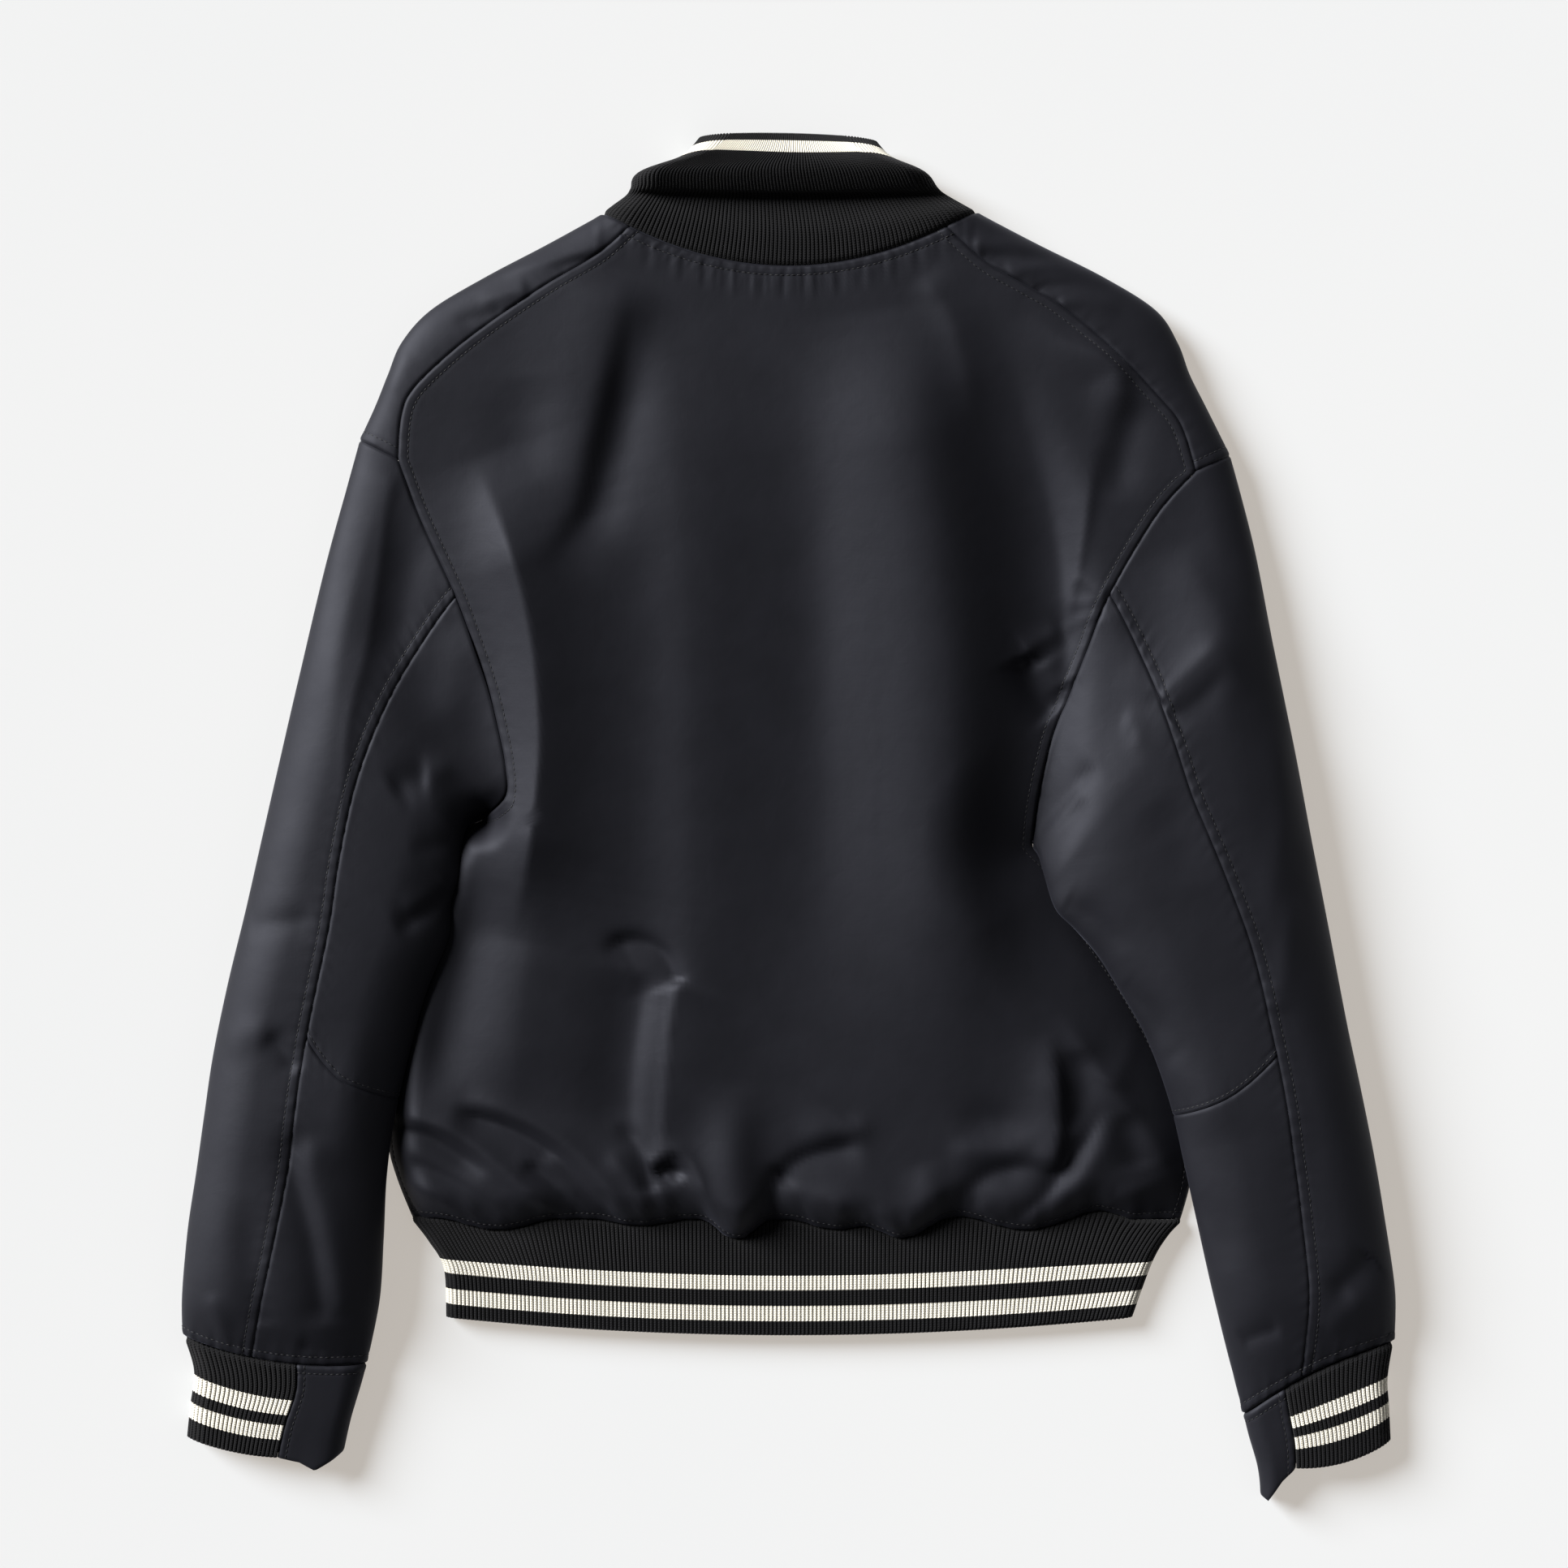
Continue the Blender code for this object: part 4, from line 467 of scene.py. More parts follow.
def folded(x, y, folds):
    """Height that a list of folds adds at places."""
    total = np.zeros_like(x)
    for fold in folds:
        path = dense(np.array(fold.path) * MM, 5 * len(fold.path))
        reach = max(fold.right, fold.left) * MM
        reach = reach * (ROUND_REACH if fold.sharp > CREASE_LIMIT else CREASE_REACH)
        low, high = path.min(axis=0) - reach, path.max(axis=0) + reach
        near = (x > low[0]) & (x < high[0]) & (y > low[1]) & (y < high[1])
        if not near.any():
            continue
        gap, place, on_left = signed_gap(x[near], y[near], path)
        width = np.where(on_left, fold.left, fold.right) * MM
        start, end = fold.fade
        fade = step_up(place / start) if start else 1.0
        fade = fade * (step_up((1.0 - place) / end) if end else 1.0)
        total[near] += fold.lift * MM * np.exp(-(gap / width) ** fold.sharp) * fade
    return total


def uneven(t, seed=0.0):
    """A wave of uneven heights and spacings, from about -1 to 1, with a mean period near 6."""
    return (0.5 * np.sin(t + seed) + 0.3 * np.sin(1.73 * t + 2.1 * seed + 1.1)
            + 0.25 * np.sin(2.91 * t + 3.7 * seed + 2.9))


# Gathers along a seam, in mm: height, spacing, and the middle and half width of their strip
NECK_GATHERS = (0.4, 1.9, 11.0, 13.0)
HEM_GATHERS = (1.0, 2.4, 8.0, 15.0)


def gathered(x, gap, gathers, seed=0.0):
    """Height of small gathers at a distance from a seam."""
    height, spacing, middle, half = (value * MM for value in gathers)
    return height * uneven(x / spacing, seed) * bump((gap - middle) / half)


def straight_hem_y(x):
    left, right = SIDE_LINE["left"][-1], SIDE_LINE["right"][-1]
    return left[1] + (right[1] - left[1]) * (x - left[0]) / (right[0] - left[0])


def hem_seam_y(x):
    drop = sum(low * bump((x - middle) / half) for middle, half, low in HEM_BULGES)
    return straight_hem_y(x) - drop


SIDE_PATH = {side: dense(line, 40) for side, line in SIDE_LINE.items()}


def body_top(x, y):
    """Upper face of the back over the whole body."""
    falls = [dome(signed_gap(x, y, SIDE_PATH[side])[0] / SIDE_FALL[side]) for side in SIDES]
    fall = np.minimum(*falls)
    to_hem = dome((y - hem_seam_y(x)) / HEM_FALL)
    small = (gathered(x, neckline_y(x) - y, NECK_GATHERS)
             + gathered(x, y - hem_seam_y(x), HEM_GATHERS, 1.3))
    crown = BODY_CROWN + folded(x, y, BACK_FOLDS) + small
    return SIDE_EDGE + fall * (HEM_TOP - SIDE_EDGE + (crown - HEM_TOP) * to_hem)


def head_path(side):
    """Where the sleeve meets the body: across the shoulder's end, then down the armhole."""
    edge, corner = SHOULDER_EDGE_LINE[side][-1], ARMHOLE_LINE[side][0]
    return np.concatenate([np.linspace(edge, corner, 12)[:-1], dense(ARMHOLE_LINE[side])])


HEAD_PATH = {side: head_path(side) for side in SIDES}
HEAD_CORNER = {side: math.dist(SHOULDER_EDGE_LINE[side][-1], ARMHOLE_LINE[side][0])
               / path_length(HEAD_PATH[side]) for side in SIDES}


# ---------------------------------------------------------------- flattened tubes

def across(u, seam, under, top_nose, under_nose, top_share, under_share):
    """Place and lift round a flattened tube.

    u runs from the under seam (-1) over the outer edge (0), the upper seam (1) and the inner
    edge (2) back to the under seam (3).  It gives the share of the way from edge to edge, and
    the lift of the rounded edge: 0 at the edge itself, 1 on the level part.
    """
    inner = u > 1.0
    upper = (u >= 0.0) & (u <= 2.0)
    t = np.where(inner, np.abs(u - 2.0), np.abs(u))
    reach = np.where(upper, seam, under)
    reach = np.where(inner, 1.0 - reach, reach)
    nose = np.where(upper, np.where(inner, top_nose[1], top_nose[0]), under_nose)
    share = np.where(upper, np.where(inner, top_share[1], top_share[0]), under_share)
    turn = 0.5 * math.pi * np.clip(t / share, 0.0, 1.0)
    level = np.clip((t - share) / (1.0 - share), 0.0, 1.0)
    place = nose * (1.0 - np.cos(turn)) + (reach - nose) * level
    return np.where(inner, 1.0 - place, place), np.sin(turn), upper


SLEEVE_TOP_SHARE = (0.5, 0.6)
SLEEVE_UNDER_SHARE = 0.6
SLEEVE_UNDER_SEAM = 0.42
SLEEVE_NOSE = (0.28, 0.30)      # plan width of the rounded edges, as shares of the section
SLEEVE_UNDER_NOSE = 0.30
UNDERARM_EASE = 0.0022          # the sleeve stands this much over the back at the underarm
UNDERARM_REACH = 0.035
HEAD_FADE = 3.0                 # sections over which the armhole's curve fades to straight ones
BODY_BLEND = 2.0                # sections over which the body's surface passes into the sleeve's
FOLDS_END, FOLDS_FADE = 12.0, 0.6       # the section where the sleeve's folds end, and how fast

# Lower edge of a cuff's strip: shares of the way across from the knit, and shares of its drop
STRIP_EDGE = {"left": ((0.0, 0.35, 0.60, 0.85, 1.0), (0.0, 0.35, 1.0, 0.45, 0.0)),
              "right": ((0.0, 0.40, 0.85, 1.0), (0.0, 0.40, 1.04, 0.95))}
CUFF_TOP_SHARE = (0.25, 0.40)
CUFF_UNDER_SHARE = 0.4
CUFF_NOSE = 0.12


def plan_normal(run):
    """Unit normals in plan, towards the collar, of sections that run from edge to edge."""
    normal = np.stack([-run[..., 1], run[..., 0]], axis=-1)
    normal = normal / np.linalg.norm(normal, axis=-1)[..., None]
    return normal * np.where(normal[..., 1:2] < 0.0, -1.0, 1.0)


def tube_heights(c, crown, outer_z, inner_z):
    """Heights of the side edge and of the arched top over a flattened tube's section."""
    edge = outer_z + (inner_z - outer_z) * step_up(c)
    return edge, crown * (1.0 - ARCH_FALL * (2.0 * c - 1.0) ** 2)


def sleeve_surface(side):
    """Outer face of a sleeve as a function of u round it and v along it."""
    corner = HEAD_CORNER[side]
    underarm = ARMHOLE_LINE[side][-1]
    table = np.array(SLEEVE_SECTIONS[side])

    def surface(u, v):
        row = through(table, v)
        outer, inner = row[..., 0:2], row[..., 2:4]
        seam, crown, outer_z, inner_z, bow = (row[..., k] for k in range(4, 9))
        fade = np.clip(1.0 - v / HEAD_FADE, 0.0, 1.0) ** 2
        open_out = step_up(v / HEAD_FADE)
        nose = corner + (SLEEVE_NOSE[0] - corner) * open_out
        under_nose = corner + (SLEEVE_UNDER_NOSE - corner) * open_out
        c, k, upper = across(u, seam, SLEEVE_UNDER_SEAM, (nose, SLEEVE_NOSE[1]), under_nose,
                             SLEEVE_TOP_SHARE, SLEEVE_UNDER_SHARE)
        run = inner - outer
        plan = outer + run * c[..., None]
        head = along(HEAD_PATH[side], c)
        first = table[0, 0:2] + (table[0, 2:4] - table[0, 0:2]) * c[..., None]
        plan = plan + (head - first) * fade[..., None]
        plan = plan + plan_normal(run) * (bow * 4.0 * c * (1.0 - c))[..., None]
        x, y = plan[..., 0], plan[..., 1]
        edge, arch = tube_heights(c, crown, outer_z, inner_z)
        folds = folded(x, y, SLEEVE_FOLDS)
        arch = arch + folds * step_up((FOLDS_END - v) / FOLDS_FADE)
        body = body_top(x, y) + folds
        level = body + (arch - body) * step_up(v / BODY_BLEND)
        from_point = np.hypot(x - underarm[0], y - underarm[1])
        level = level + UNDERARM_EASE * bump(from_point / UNDERARM_REACH)
        z = np.where(upper, edge + (level - edge) * k, edge * (1.0 - k))
        return np.stack([x, y, z], axis=-1)

    return surface


def cuff_surface(side):
    """Outer face of a cuff, its knit and its cloth strip together."""
    table = np.array(CUFF_SECTIONS[side])

    def surface(u, v):
        row = through(table, v)
        outer, inner = row[..., 0:2], row[..., 2:4]
        seam, crown, outer_z, inner_z, bow, tip = (row[..., k] for k in range(4, 10))
        c, k, upper = across(u, seam, SLEEVE_UNDER_SEAM, (CUFF_NOSE, CUFF_NOSE), CUFF_NOSE,
                             CUFF_TOP_SHARE, CUFF_UNDER_SHARE)
        run = inner - outer
        strip = np.clip((c - seam) / (1.0 - seam), 0.0, 1.0)
        drop = tip * np.interp(strip, *STRIP_EDGE[side])
        plan = outer + run * c[..., None]
        plan = plan + plan_normal(run) * (bow * 4.0 * c * (1.0 - c) - drop)[..., None]
        edge, arch = tube_heights(c, crown, outer_z, inner_z)
        z = np.where(upper, edge + (arch - edge) * k, edge * (1.0 - k))
        return np.concatenate([plan, z[..., None]], axis=-1)

    return surface


def hem_surface(u, v):
    """Outer face of the hem band."""
    row = through(HEM_ROWS, v)
    left, right = row[..., 0:2], row[..., 2:4]
    bow, lift, wave = (row[..., k] for k in (4, 5, 6))
    middle = -left[..., 0] / (right[..., 0] - left[..., 0])
    nose, under_nose = HEM_EDGE_ROUND
    share, under_share = HEM_EDGE_SHARE
    c, k, upper = across(u, 0.5, middle, (nose, nose), under_nose, (share, share), under_share)
    plan = left + (right - left) * c[..., None]
    foot_left, foot_right = np.array(HEM_ROWS)[-1, [0, 2]]
    foot = foot_left + (foot_right - foot_left) * c
    x = (foot + (left[..., 0] - foot_left) * np.exp(-((foot - foot_left) / HEM_LEAN) ** 1.5)
         + (right[..., 0] - foot_right) * np.exp(-((foot_right - foot) / HEM_LEAN) ** 1.5))
    follow = wave * np.where(upper, step_up((k - 0.5) * 2.0), 0.0)
    y = plan[..., 1] + bow * 4.0 * c * (1.0 - c) + follow * (hem_seam_y(x) - straight_hem_y(x))
    z = np.where(upper, HEM_NOSE + (lift - HEM_NOSE) * k, HEM_NOSE * (1.0 - k))
    tuck = np.where(upper, np.clip(1.0 - v / TUCK_SHARE, 0.0, 1.0), 0.0)
    return np.stack([x, y + TUCK * tuck, z - 0.5 * TUCK * tuck], axis=-1)


def front_collar_plan(t, side_sign, share, edge):
    """Plan of the collar's front half: t is 0 at the side edge and 1 at the centre."""
    roll = 0.5 * math.pi * np.clip(t / FRONT_COLLAR_TURN, 0.0, 1.0)
    rest = np.clip(t - FRONT_COLLAR_TURN, 0.0, None)
    t = FRONT_COLLAR_TURN * (1.0 - np.cos(roll)) + rest
    side_x, side_y = COLLAR_SIDE
    top_side_x, top_side_y = COLLAR_TOP_SIDE
    turn = 0.5 * math.pi * np.clip((t - NECK_CORNER) / (1.0 - NECK_CORNER), 0.0, 1.0)
    x = NECK_POINT * np.cos(turn)
    seam_x = np.where(t < NECK_CORNER, side_x + (NECK_POINT - side_x) * t / NECK_CORNER, x)
    seam_y = np.where(t < NECK_CORNER, neckline_y(seam_x), front_neckline_y(x))
    half = 0.5 * math.pi * t
    top_x = top_side_x * np.cos(half)
    top_y = top_side_y - (top_side_y - FRONT_COLLAR_TOP) * np.sin(half)
    x = seam_x + (top_x - seam_x) * share
    y = seam_y + (top_y - seam_y) * share
    hold = (1.0 - t) ** 4
    edge_x = side_x + (top_side_x - side_x) * share
    edge_y = side_y + (top_side_y - side_y) * share
    x = x + hold * (np.abs(edge[..., 0]) - edge_x)
    y = y + hold * (edge[..., 1] - edge_y)
    return np.stack([side_sign * x, y], axis=-1)


def collar_surface(u, v):
    """Outer face of the collar, with its slouch over the back."""
    row = through(COLLAR_ROWS, v)
    left, right = row[..., 0:2], row[..., 2:4]
    middle, lift, share, nose, climb = (row[..., k] for k in range(4, 9))
    width = right[..., 0] - left[..., 0]
    nose_c = nose / width
    c, k, upper = across(u, 0.5, 0.5, (nose_c, nose_c), COLLAR_UNDER_NOSE, (share, share),
                         FRONT_COLLAR_TURN)
    plan = left + (right - left) * c[..., None]
    level = 0.5 * (left[..., 1] + right[..., 1])
    sag = (middle - level) * (1.0 - np.abs(2.0 * c - 1.0) ** 2.0)
    plan = np.stack([plan[..., 0], plan[..., 1] + sag], axis=-1)
    t_left, t_right = np.clip(-u, 0.0, 1.0), np.clip(u - 2.0, 0.0, 1.0)
    plan = np.where((u < 0.0)[..., None], front_collar_plan(t_left, -1.0, climb, left), plan)
    plan = np.where((u > 2.0)[..., None], front_collar_plan(t_right, 1.0, climb, right), plan)
    z = np.where(upper, COLLAR_NOSE + (lift - COLLAR_NOSE) * k, COLLAR_NOSE * (1.0 - k))
    return np.concatenate([plan, z[..., None]], axis=-1)


def shoulder_surface(side):
    """Outer face of a shoulder piece: u is 1 at the back seam, 0 on the fold, -1 in front."""
    edge_path, seam_path = dense(SHOULDER_EDGE_LINE[side]), dense(SHOULDER_SEAM_LINE[side])

    def surface(u, v):
        edge, seam = along(edge_path, v), along(seam_path, v)
        turn = 0.5 * math.pi * np.abs(u)
        plan = edge + (seam - edge) * (1.0 - np.cos(turn))[..., None]
        x, y = plan[..., 0], plan[..., 1]
        lift = np.sin(turn)
        body = body_top(x, y) + folded(x, y, SHOULDER_FOLDS)
        top = SHOULDER_EDGE + (body - SHOULDER_EDGE) * lift
        return np.stack([x, y, np.where(u >= 0.0, top, SHOULDER_EDGE * (1.0 - lift))], axis=-1)

    return surface


# ---------------------------------------------------------------- cut edges of the body

BODY_EDGE = {side: (dense(SHOULDER_SEAM_LINE[side]), dense(ARMHOLE_LINE[side]), SIDE_PATH[side])
             for side in SIDES}
EDGE_SHARES = (0.0, 0.26, 0.61, 1.0)    # down the body: neck, armhole, underarm, hem


def body_edge(side, t):
    """A body panel's side: t runs 0 to 1 down the shoulder, to 2 down the armhole, to 3 below."""
    flat_t = np.asarray(t, float).ravel()
    point = np.zeros((flat_t.size, 2))
    for number, path in enumerate(BODY_EDGE[side]):
        here = np.clip(flat_t.astype(int), 0, 2) == number
        point[here] = along(path, flat_t[here] - number)
    return point.reshape(*np.shape(t), 2)


def edge_share(t):
    return np.interp(t, (0.0, 1.0, 2.0, 3.0), EDGE_SHARES)


def back_surface(s, t):
    """Outer face of the back: s runs from the left side to the right, t from neck to hem."""
    start, end = body_edge("left", t), body_edge("right", t)
    plan = start + (end - start) * s[..., None]
    corners = [body_edge(side, np.array(row)) for row in (0.0, 3.0) for side in SIDES]
    top_x = corners[0][0] + (corners[1][0] - corners[0][0]) * s
    hem_x = corners[2][0] + (corners[3][0] - corners[2][0]) * s
    share = edge_share(t)
    y = plan[..., 1] + (neckline_y(top_x) - corners[0][1]) * (1.0 - share) ** 2
    y = y + (hem_seam_y(hem_x) - straight_hem_y(hem_x)) * share ** 5
    x = plan[..., 0]
    return np.stack([x, y, body_top(x, y)], axis=-1)


def front_neckline_y(x):
    rise = neckline_y(NECK_POINT)
    return rise - (rise - FRONT_NECK_LOW) * np.sqrt(np.clip(1.0 - (x / NECK_POINT) ** 2, 0.0, 1.0))


def front_surface(side):
    """Lower face of a front: s runs from the side to the lapped edge, t from neck to hem."""
    sign = TURN[side]
    level = SNAP_HEIGHT + SNAP_CLEARANCE
    if side == "right":
        level = level + LAP_THICKNESS
    centre_x = -sign * FRONT_LAP
    centre_top = front_neckline_y(centre_x)
    centre_low = straight_hem_y(centre_x)

    def surface(s, t):
        edge = body_edge(side, t)
        corner = body_edge(side, np.array(0.0))
        share = edge_share(t)
        x = edge[..., 0] + (centre_x - edge[..., 0]) * s
        top_x = corner[0] + (centre_x - corner[0]) * s
        top_line = corner[1] + (centre_top - corner[1]) * s
        centre_y = centre_top + (centre_low - centre_top) * share
        dip = (front_neckline_y(top_x) - top_line) * (1.0 - share) ** 3
        y = edge[..., 1] + (centre_y - edge[..., 1]) * s + dip
        rise = np.clip((LAP_RISE - sign * x) / (LAP_RISE - LAP_LEVEL), 0.0, 1.0)
        return np.stack([x, y, level * rise], axis=-1)

    return surface


# ---------------------------------------------------------------- laying out a piece

# Distances from a seam at which the mesh has rows, in mm: for a stitched edge and a plain one
STITCHED_EDGE = np.array([0.0, 0.5, 1.1, 1.9, 3.0, 4.3, 5.3, 6.0, 6.7, 7.7, 9.5, 12.0]) * MM
PLAIN_EDGE = np.array([0.0, 0.5, 1.1, 1.9, 3.0, 4.8]) * MM
NO_EDGE = np.array([0.0])

# What a seam does to the cloth beside it, in mm: how deep it dips, how far off a row of stitches
# runs (0 for none), how high the puckers stand, their spacing, and how far in they reach
Seam = namedtuple("Seam", "dip stitch pucker spacing reach")
NECK_SEAM = Seam(1.2, 6.0, 0.35, 9.0, 9.0)
SHOULDER_SEAM = Seam(0.8, 0.0, 0.35, 11.0, 7.0)
SHOULDER_STITCHED = Seam(0.8, 6.0, 0.35, 11.0, 8.0)
ARMHOLE_SEAM = Seam(0.8, 6.0, 0.40, 10.0, 8.0)
SLEEVE_HEAD = Seam(0.8, 0.0, 0.35, 10.0, 7.0)
HEM_SEAM = Seam(1.4, 6.0, 0.6, 12.0, 11.0)
SLEEVE_STITCHED = Seam(0.7, 6.0, 0.65, 9.5, 9.0)
SLEEVE_PLAIN = Seam(0.7, 0.0, 0.45, 9.5, 7.0)
ELBOW_SEAM = Seam(0.6, 0.0, 0.35, 9.0, 6.0)
ELBOW_STITCHED = Seam(0.6, 3.0, 0.35, 9.0, 6.0)
CUFF_SEAM = Seam(1.4, 6.0, 0.70, 10.0, 10.0)
STRIP_SEAM = Seam(1.0, 5.0, 0.25, 8.0, 5.0)
TURNED_EDGE = Seam(0.5, 0.0, 0.0, 9.0, 4.0)
UNDER_SEAM = Seam(0.8, 0.0, 0.0, 9.0, 4.0)
KNIT_SEAM = Seam(1.2, 0.0, 0.0, 9.0, 4.0)

GROOVE_WIDTH = 1.0      # of the groove at a seam, in mm
HEM_PLATEAU = 0.14      # how high the allowance folded under lifts a stitched edge, in mm
STITCH_DENT = 0.22      # how deep a row of stitches pulls the cloth in, in mm
STITCH_DENT_WIDTH = 0.8

BORDERS = ("first_row", "last_row", "first_column", "last_column")
COARSE_COLUMNS, COARSE_ROWS = 120, 60       # of the grid on which a piece's lengths are measured


def stations(length, first, last, spaces):
    """Distances along a length: close together by both seams and even between them."""
    room = min(1.0, 0.45 * length / max(first[-1], last[-1], 1e-6))
    start, end = first * room, length - last[::-1] * room
    return np.concatenate([start, np.linspace(start[-1], end[0], spaces + 1)[1:-1], end])


def running_length(points, axis):
    step = np.linalg.norm(np.diff(points, axis=axis), axis=-1)
    pad = [(1, 0) if axis == k else (0, 0) for k in (0, 1)]
    return np.pad(np.cumsum(step, axis=axis), pad)


def crowd(seam):
    if seam is None:
        return NO_EDGE
    return STITCHED_EDGE if seam.stitch else PLAIN_EDGE


def even_grid(surface, u_span, v_span, seams, step, hidden=None):
    """Places (u, v) for a mesh whose rows and columns are evenly spaced on the surface.

    Where hidden(u) is true the columns lie further apart.
    """
    first_row, last_row, first_column, last_column = (crowd(seams.get(name)) for name in BORDERS)
    u, v = np.meshgrid(np.linspace(*u_span, COARSE_COLUMNS + 1),
                       np.linspace(*v_span, COARSE_ROWS + 1))
    points = surface(u, v)
    v_length = running_length(points, 0).mean(axis=1)
    spaces = max(2, round(v_length[-1] / step))
    v_nodes = np.interp(stations(v_length[-1], first_row, last_row, spaces), v_length, v[:, 0])
    pace = np.linalg.norm(np.diff(points, axis=1), axis=-1)
    if hidden is not None:
        pace = pace * np.where(hidden(0.5 * (u[:, 1:] + u[:, :-1])), HIDDEN_DENSITY, 1.0)
    u_length = np.pad(np.cumsum(pace, axis=1), [(0, 0), (1, 0)])
    spaces = max(2, round(u_length[:, -1].mean() / step))
    rows = []
    for place in v_nodes:
        f = np.clip((place - v_span[0]) / (v_span[1] - v_span[0]), 0.0, 1.0) * COARSE_ROWS
        i = min(int(f), COARSE_ROWS - 1)
        length = u_length[i] + (u_length[i + 1] - u_length[i]) * (f - i)
        nodes = stations(length[-1], first_column, last_column, spaces)
        rows.append(np.interp(nodes, length, u[0]))
    return np.array(rows), np.repeat(v_nodes[:, None], len(rows[0]), axis=1)


def grid_normals(points, turn):
    """Outward unit normals at the points of a grid."""
    normal = turn * np.cross(np.gradient(points, axis=1), np.gradient(points, axis=0))
    return normal / np.maximum(np.linalg.norm(normal, axis=-1), TINY)[..., None]


def seam_rise(seam, gap, run, seed):
    """Height in metres that a seam adds to the cloth at a distance from it, in metres."""
    d = gap / MM
    rise = -seam.dip * np.exp(-(d / GROOVE_WIDTH) ** 2)
    wave = uneven(6.0 * run / MM / seam.spacing, seed)
    slant = uneven(6.0 * (run / MM + 0.35 * d) / (0.62 * seam.spacing), seed + 2.0)
    strength = step_up(d / 1.2) * np.exp(-(d / seam.reach) ** 2)
    rise = rise + seam.pucker * (0.7 * wave + 0.3 * slant) * strength
    if seam.stitch:
        folded_under = step_up(d / 1.5) * step_up((seam.stitch + 1.0 - d) / 2.5)
        dent = np.exp(-((d - seam.stitch) / STITCH_DENT_WIDTH) ** 2)
        rise = rise + HEM_PLATEAU * folded_under - STITCH_DENT * dent
    return rise * MM


def border_gaps(points):
    """Distance of each point of a grid from each border, and how far along that border it is."""
    by_row, by_column = running_length(points, 0), running_length(points, 1)
    across_rows, along_rows = np.gradient(points, axis=0), np.gradient(points, axis=1)
    cross = np.linalg.norm(np.cross(across_rows, along_rows), axis=-1)
    lengths = np.linalg.norm(across_rows, axis=-1) * np.linalg.norm(along_rows, axis=-1)
    lean = cross / np.maximum(lengths, 1e-15)
    return {
        "first_row": (by_row * lean[:1], by_column[:1] + 0.0 * by_row),
        "last_row": ((by_row[-1:] - by_row) * lean[-1:], by_column[-1:] + 0.0 * by_row),
        "first_column": (by_column * lean[:, :1], by_row[:, :1] + 0.0 * by_row),
        "last_column": ((by_column[:, -1:] - by_column) * lean[:, -1:],
                        by_row[:, -1:] + 0.0 * by_row),
    }


def stitch_line(border, gap, points, normals, distance):
    """Points and normals along a border, at a distance from it."""
    if border in ("first_row", "last_row"):
        gap, points, normals = gap.T, points.swapaxes(0, 1), normals.swapaxes(0, 1)
    line, facing = [], []
    for row_gap, row, row_normals in zip(gap, points, normals):
        order = np.argsort(row_gap)
        if row_gap[order[-1]] < distance:
            continue
        line.append([np.interp(distance, row_gap[order], row[order, k]) for k in range(3)])
        facing.append([np.interp(distance, row_gap[order], row_normals[order, k])
                       for k in range(3)])
    return np.array(line), np.array(facing)


def mesh_from_grid(name, points, turn, uv):
    """A mesh on a grid of points, facing outward, with its flattened map."""
    rows, columns = points.shape[:2]
    sheet = bmesh.new()
    bmesh.ops.create_grid(sheet, x_segments=columns - 1, y_segments=rows - 1, size=0.5)
    if turn < 0.0:
        bmesh.ops.reverse_faces(sheet, faces=sheet.faces)
    data = bpy.data.meshes.new(name)
    sheet.to_mesh(data)
    sheet.free()
    data.vertices.foreach_set("co", points.ravel())
    corner = np.zeros(len(data.loops), dtype=np.int32)
    data.loops.foreach_get("vertex_index", corner)
    layer = data.uv_layers.new(name="UVMap")
    layer.data.foreach_set("uv", uv.reshape(-1, 2)[corner].ravel())
    data.shade_smooth()
    data.update()
    return data


def add_piece(name, data, finish, nodes=()):
    """Puts a finished mesh in the scene, riding on the jacket."""
    piece = bpy.data.objects.new(name, data)
    piece.data.materials.append(finish)
    bpy.context.scene.collection.objects.link(piece)
    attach(piece, BODY)
    if nodes:
        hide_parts(*nodes)
    return piece


def thicken(piece, thickness):
    """Gives a sheet its thickness, inwards from its outer face."""
    shell = piece.modifiers.new("Cloth thickness", "SOLIDIFY")
    shell.thickness = thickness
    shell.offset = -1.0


STITCH_LIFT = 0.1 * MM      # how far the thread's middle stands over the cloth


def sew_stitches(name, lines, finish, settings):
    """A row of raised thread stitches along each line, all in one mesh."""
    thread = bmesh.new()
    size = (settings.stitch_length / 2, settings.thread_width / 2, settings.thread_width * 0.4)

    def at(place, length, values):
        return Vector([np.interp(place, length, values[:, k]) for k in range(3)])

    for points, normals in lines:
        if len(points) < 3:
            continue
        length = np.linalg.norm(np.diff(points, axis=0), axis=1)
        length = np.concatenate([[0.0], np.cumsum(length)])
        count = int(length[-1] / settings.stitch_pitch)
        for place in (np.arange(count) + 0.5) * length[-1] / count:
            middle = at(place, length, points)
            up = at(place, length, normals).normalized()
            run = (at(place + 0.5 * MM, length, points) - middle).normalized()
            aside = up.cross(run).normalized()
            turn = Matrix((run, aside, run.cross(aside))).transposed().to_4x4()
            place_it = Matrix.Translation(middle + up * STITCH_LIFT) @ turn
            bmesh.ops.create_uvsphere(thread, u_segments=6, v_segments=4, radius=1.0,
                                      matrix=place_it @ Matrix.Diagonal((*size, 1.0)))
    data = bpy.data.meshes.new(name)
    thread.to_mesh(data)
    thread.free()
    data.shade_smooth()
    return add_piece(name, data, finish)


